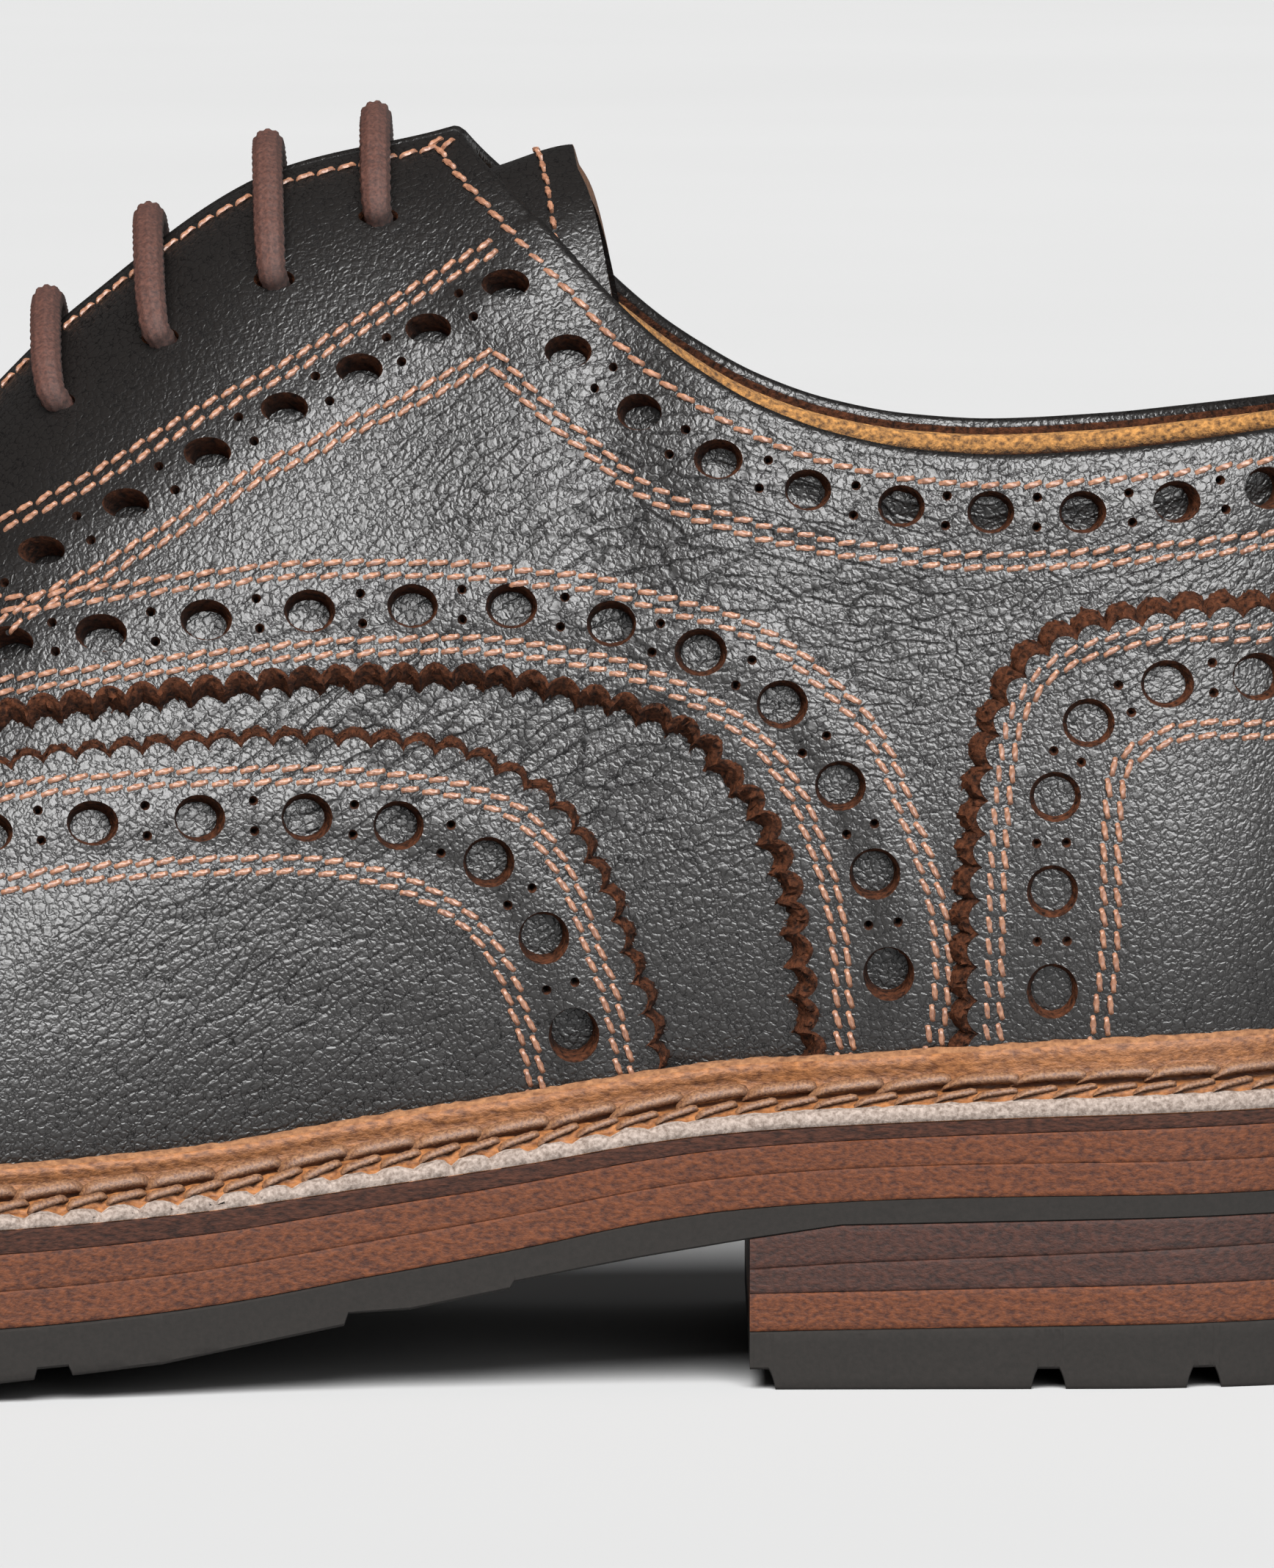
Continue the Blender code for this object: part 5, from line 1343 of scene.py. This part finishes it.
make("insole_sock", surface.reshape(-1, 3), faces, lining_calf, "insole_leather", stands_for="insole")

# Tongue: an arched sheet with a cut edge and one row of stitches along it.
tongue_xs = np.concatenate([np.linspace(93.2, 101, 16), np.linspace(102.5, THROAT_FRONT - 1, 40)])


def tongue_side(side, rows=34):
    """Shares and lifts of one half of the tongue, from its edge to the ridge."""
    low = np.array([share_where(share_at(x), side, lambda p: p[..., 2] < ridge(x) - TONGUE_DROP)[0]
                    for x in tongue_xs])[:, None]
    levels = np.linspace(0, 1, rows)[None, :]
    out_past = np.clip((101 - tongue_xs) / 7.5, 0, 1)[:, None]
    ends = np.clip((110 - tongue_xs) / 7, 0, 1) + np.clip((tongue_xs - THROAT_FRONT + 8) / 7, 0, 1)
    depth = WALL + LACE_BELOW + 2 * OVERLAY_GAP + GAP - LACE_BELOW / 2 * np.clip(ends, 0, 1)[:, None]
    x = tongue_xs[:, None] - 4.5 * out_past * (1 - levels)
    t = low + (1 - low) * levels
    depth = np.broadcast_to(depth, t.shape)
    ripple = 0.35 * np.sin(levels * 9 + x * 0.25) * out_past
    return share_at(x), t, -depth + ripple


heap = Heap()
layers = []
for extra in (0.0, -TONGUE):
    parts = []
    for side in (LATERAL, MEDIAL):
        u, t, lifts = tongue_side(side)
        parts.append(last_point(u, side, t, lifts + extra))
    layers.append(np.concatenate([parts[0], parts[1][:, ::-1][:, 1:]], axis=1))
rows, columns = layers[0].shape[:2]
faces = quads(rows, columns)
heap.add(layers[0], faces, 0)
heap.add(layers[1], faces[:, ::-1], 0)
n = rows * columns
border = ([(i, i + 1) for i in range(columns - 1)]
          + [((i + 1) * columns - 1, (i + 2) * columns - 1) for i in range(rows - 1)]
          + [(n - 1 - i, n - 2 - i) for i in range(columns - 1)]
          + [((rows - 1 - i) * columns, (rows - 2 - i) * columns) for i in range(rows - 1)])
heap.faces += [[b, a, a + n, b + n] for a, b in border]
heap.which += [1] * len(border)
heap.piece("tongue_leather", [calf, tan_edge], "tongue_leather", stands_for="tongue")
threads = Heap()
for side in (LATERAL, MEDIAL):
    u, t, lifts = tongue_side(side)
    target = u[0] + (share_at(100.0) - share_at(95.6))
    row = np.stack([target, [np.interp(a, u[:, k], t[:, k]) for k, a in enumerate(target)]], -1)
    height = [np.interp(a, u[:, k], lifts[:, k]) for k, a in enumerate(target)]
    line = last_point(row[:, 0], side, row[:, 1], height)
    run = run_along(line)
    marks = np.arange(STITCH / 2, run[-1], STITCH)
    at, row = at_marks(marks, run, line), at_marks(marks, run, row)
    ahead = unit(np.gradient(at, axis=0))
    out = outward(row[:, 0], side, row[:, 1])
    thread_runs(threads, at, ahead, np.cross(out, ahead), out, 1.62, 0.27, seed=61)
threads.piece("tongue_threads", thread, "tongue_leather")


# Lace: round braid in straight bars over the slot, joined in turn below each facing.
ABOVE, BELOW = OVERLAY_GAP + OVERLAY + LACE / 2 + GAP, WALL + LACE_BELOW / 2 + 2 * GAP
IN_HOLE = EYELET / 2 - 0.6
path, sizes = [], []
side = LATERAL
for i, (x, z) in enumerate(EYELETS):
    u = float(share_at(x))
    near, far = (share_where(u, s, lambda p: p[..., 2] < z)[0] for s in (side, -side))
    down = [(-WALL * 0.64, IN_HOLE), (ABOVE * 0.45, IN_HOLE), (ABOVE - 0.5, LACE / 2 - 0.1)]
    stops = [(last_point(u, side, near, lift), radius) for lift, radius in down]
    stops += [(last_point(u, side, t, ABOVE + 0.25 * math.sin(3 * t)), LACE / 2)
              for t in np.linspace(near + (1 - near) * 0.16, 1, 4)]
    side = -side
    stops += [(last_point(u, side, t, ABOVE + 0.25 * math.sin(3 * t)), LACE / 2)
              for t in np.linspace(1, far + (1 - far) * 0.16, 4)[1:]]
    stops += [(last_point(u, side, far, lift), radius) for lift, radius in reversed(down)]
    if i + 1 < len(EYELETS):
        next_u = float(share_at(EYELETS[i + 1][0]))
        next_t = share_where(next_u, side, lambda p: p[..., 2] < EYELETS[i + 1][1])[0]
        stops += [(last_point(u + (next_u - u) * k, side, far + (next_t - far) * k, -BELOW), LACE_BELOW / 2)
                  for k in (0.12, 0.5, 0.88)]
    path += [p.reshape(3) for p, _ in stops]
    sizes += [r for _, r in stops]
path, sizes = np.array(path), np.array(sizes)


def rope(path, sizes, step):
    """Closely spaced points of a smooth line through the path, with its thickness and two ways across it."""
    run = run_along(path)
    marks = np.arange(0, run[-1], step)
    fine = at_marks(marks, run, np.column_stack([path, sizes]))
    kernel = np.hanning(int(3.2 / step) | 1)
    kernel /= kernel.sum()
    half = len(kernel) // 2
    padded = np.concatenate([np.repeat(fine[:1], half, 0), fine, np.repeat(fine[-1:], half, 0)])
    fine = np.stack([np.convolve(padded[:, k], kernel, "valid") for k in range(4)], -1)
    points, size = fine[:, :3], fine[:, 3]
    ahead = unit(np.gradient(points, axis=0))
    normal = np.zeros_like(ahead)
    normal[0] = np.cross(ahead[0], (1, 0, 0))
    for k in range(1, len(ahead)):
        kept = normal[k - 1] - ahead[k] * (normal[k - 1] @ ahead[k])
        normal[k] = kept / np.linalg.norm(kept)
    return points, size, ahead, normal, np.cross(ahead, normal), marks


points, size, ahead, normal, other, marks = rope(path, sizes, 0.3)
corners = 30
angle = np.linspace(0, 2 * math.pi, corners, endpoint=False)
column = (angle * 10 / (2 * math.pi)) % 1
leg = marks[:, None] / 1.25 - np.abs(2 * column[None] - 1) * 0.6
strand = (0.62 + 0.38 * np.cos(2 * math.pi * leg)) * np.sin(math.pi * column)[None] ** 0.6
radius = size[:, None] * (0.9 + 0.13 * strand)
mesh = points[:, None] + radius[..., None] * (np.cos(angle)[None, :, None] * normal[:, None]
                                              + np.sin(angle)[None, :, None] * other[:, None])
faces = tube(len(points), corners)
flow = np.stack(np.broadcast_arrays(marks[:, None], angle[None] * 1.5), -1).reshape(-1, 2) / 1000
make("lace_braid", mesh.reshape(-1, 3), faces, braid, "lace_cord", stands_for="lace", sharp=180, flow=flow)

# Floor, light and camera.
# Even pale card, so that the shadow alone shows on it.
floor_finish = mottled("pale_floor", "#9F9F9F", "#A1A1A1", 0.9, 400.0)
floor_mesh = bpy.data.meshes.new("floor")
floor_mesh.from_pydata([(-30, -60, 0), (30, -60, 0), (30, 4, 0), (-30, 4, 0)], [], [(0, 1, 2, 3)])
floor_mesh.materials.append(floor_finish)
floor = bpy.data.objects.new("floor", floor_mesh)
bpy.context.scene.collection.objects.link(floor)

world = bpy.data.worlds.new("studio")
bpy.context.scene.world = world
world.use_nodes = True
backdrop = next(n for n in world.node_tree.nodes if n.type == "BACKGROUND")
backdrop.inputs["Color"].default_value = linear("#F2F2F2")
backdrop.inputs["Strength"].default_value = 0.1


def lamp(name, toward, spread, strength, sheen):
    """Large soft light far off, so that the floor is even: toward points from the shoe to the light. Either
    it lights the surfaces, or it gives the sheen on them."""
    light = bpy.data.lights.new(name, "SUN")
    light.energy, light.angle = strength, math.radians(spread)
    obj = bpy.data.objects.new(name, light)
    obj.rotation_mode = "QUATERNION"
    obj.rotation_quaternion = Vector(toward).to_track_quat("Z", "Y")
    obj.visible_diffuse, obj.visible_glossy = not sheen, sheen
    bpy.context.scene.collection.objects.link(obj)


lamp("softbox_above", (0.1, 0.7, 0.78), 46, 9.4, False)
lamp("softbox_front", (-0.3, 0.84, 0.47), 46, 9.5, True)

bpy.context.scene.view_settings.view_transform = "Standard"

lens = bpy.data.cameras.new("camera")
camera = bpy.data.objects.new("camera", lens)
bpy.context.scene.collection.objects.link(camera)
turn = Matrix((RIGHT, UPWARD, -LOOK)).transposed().to_4x4()
turn.translation = (EYE - CENTRE) / 1000
camera.matrix_world = turn
lens.sensor_fit, lens.sensor_height = "VERTICAL", 36.0
lens.lens = 36.0 * FINE * DISTANCE / PICTURE[1]
lens.clip_start, lens.clip_end = 0.05, 80
bpy.context.scene.camera = camera
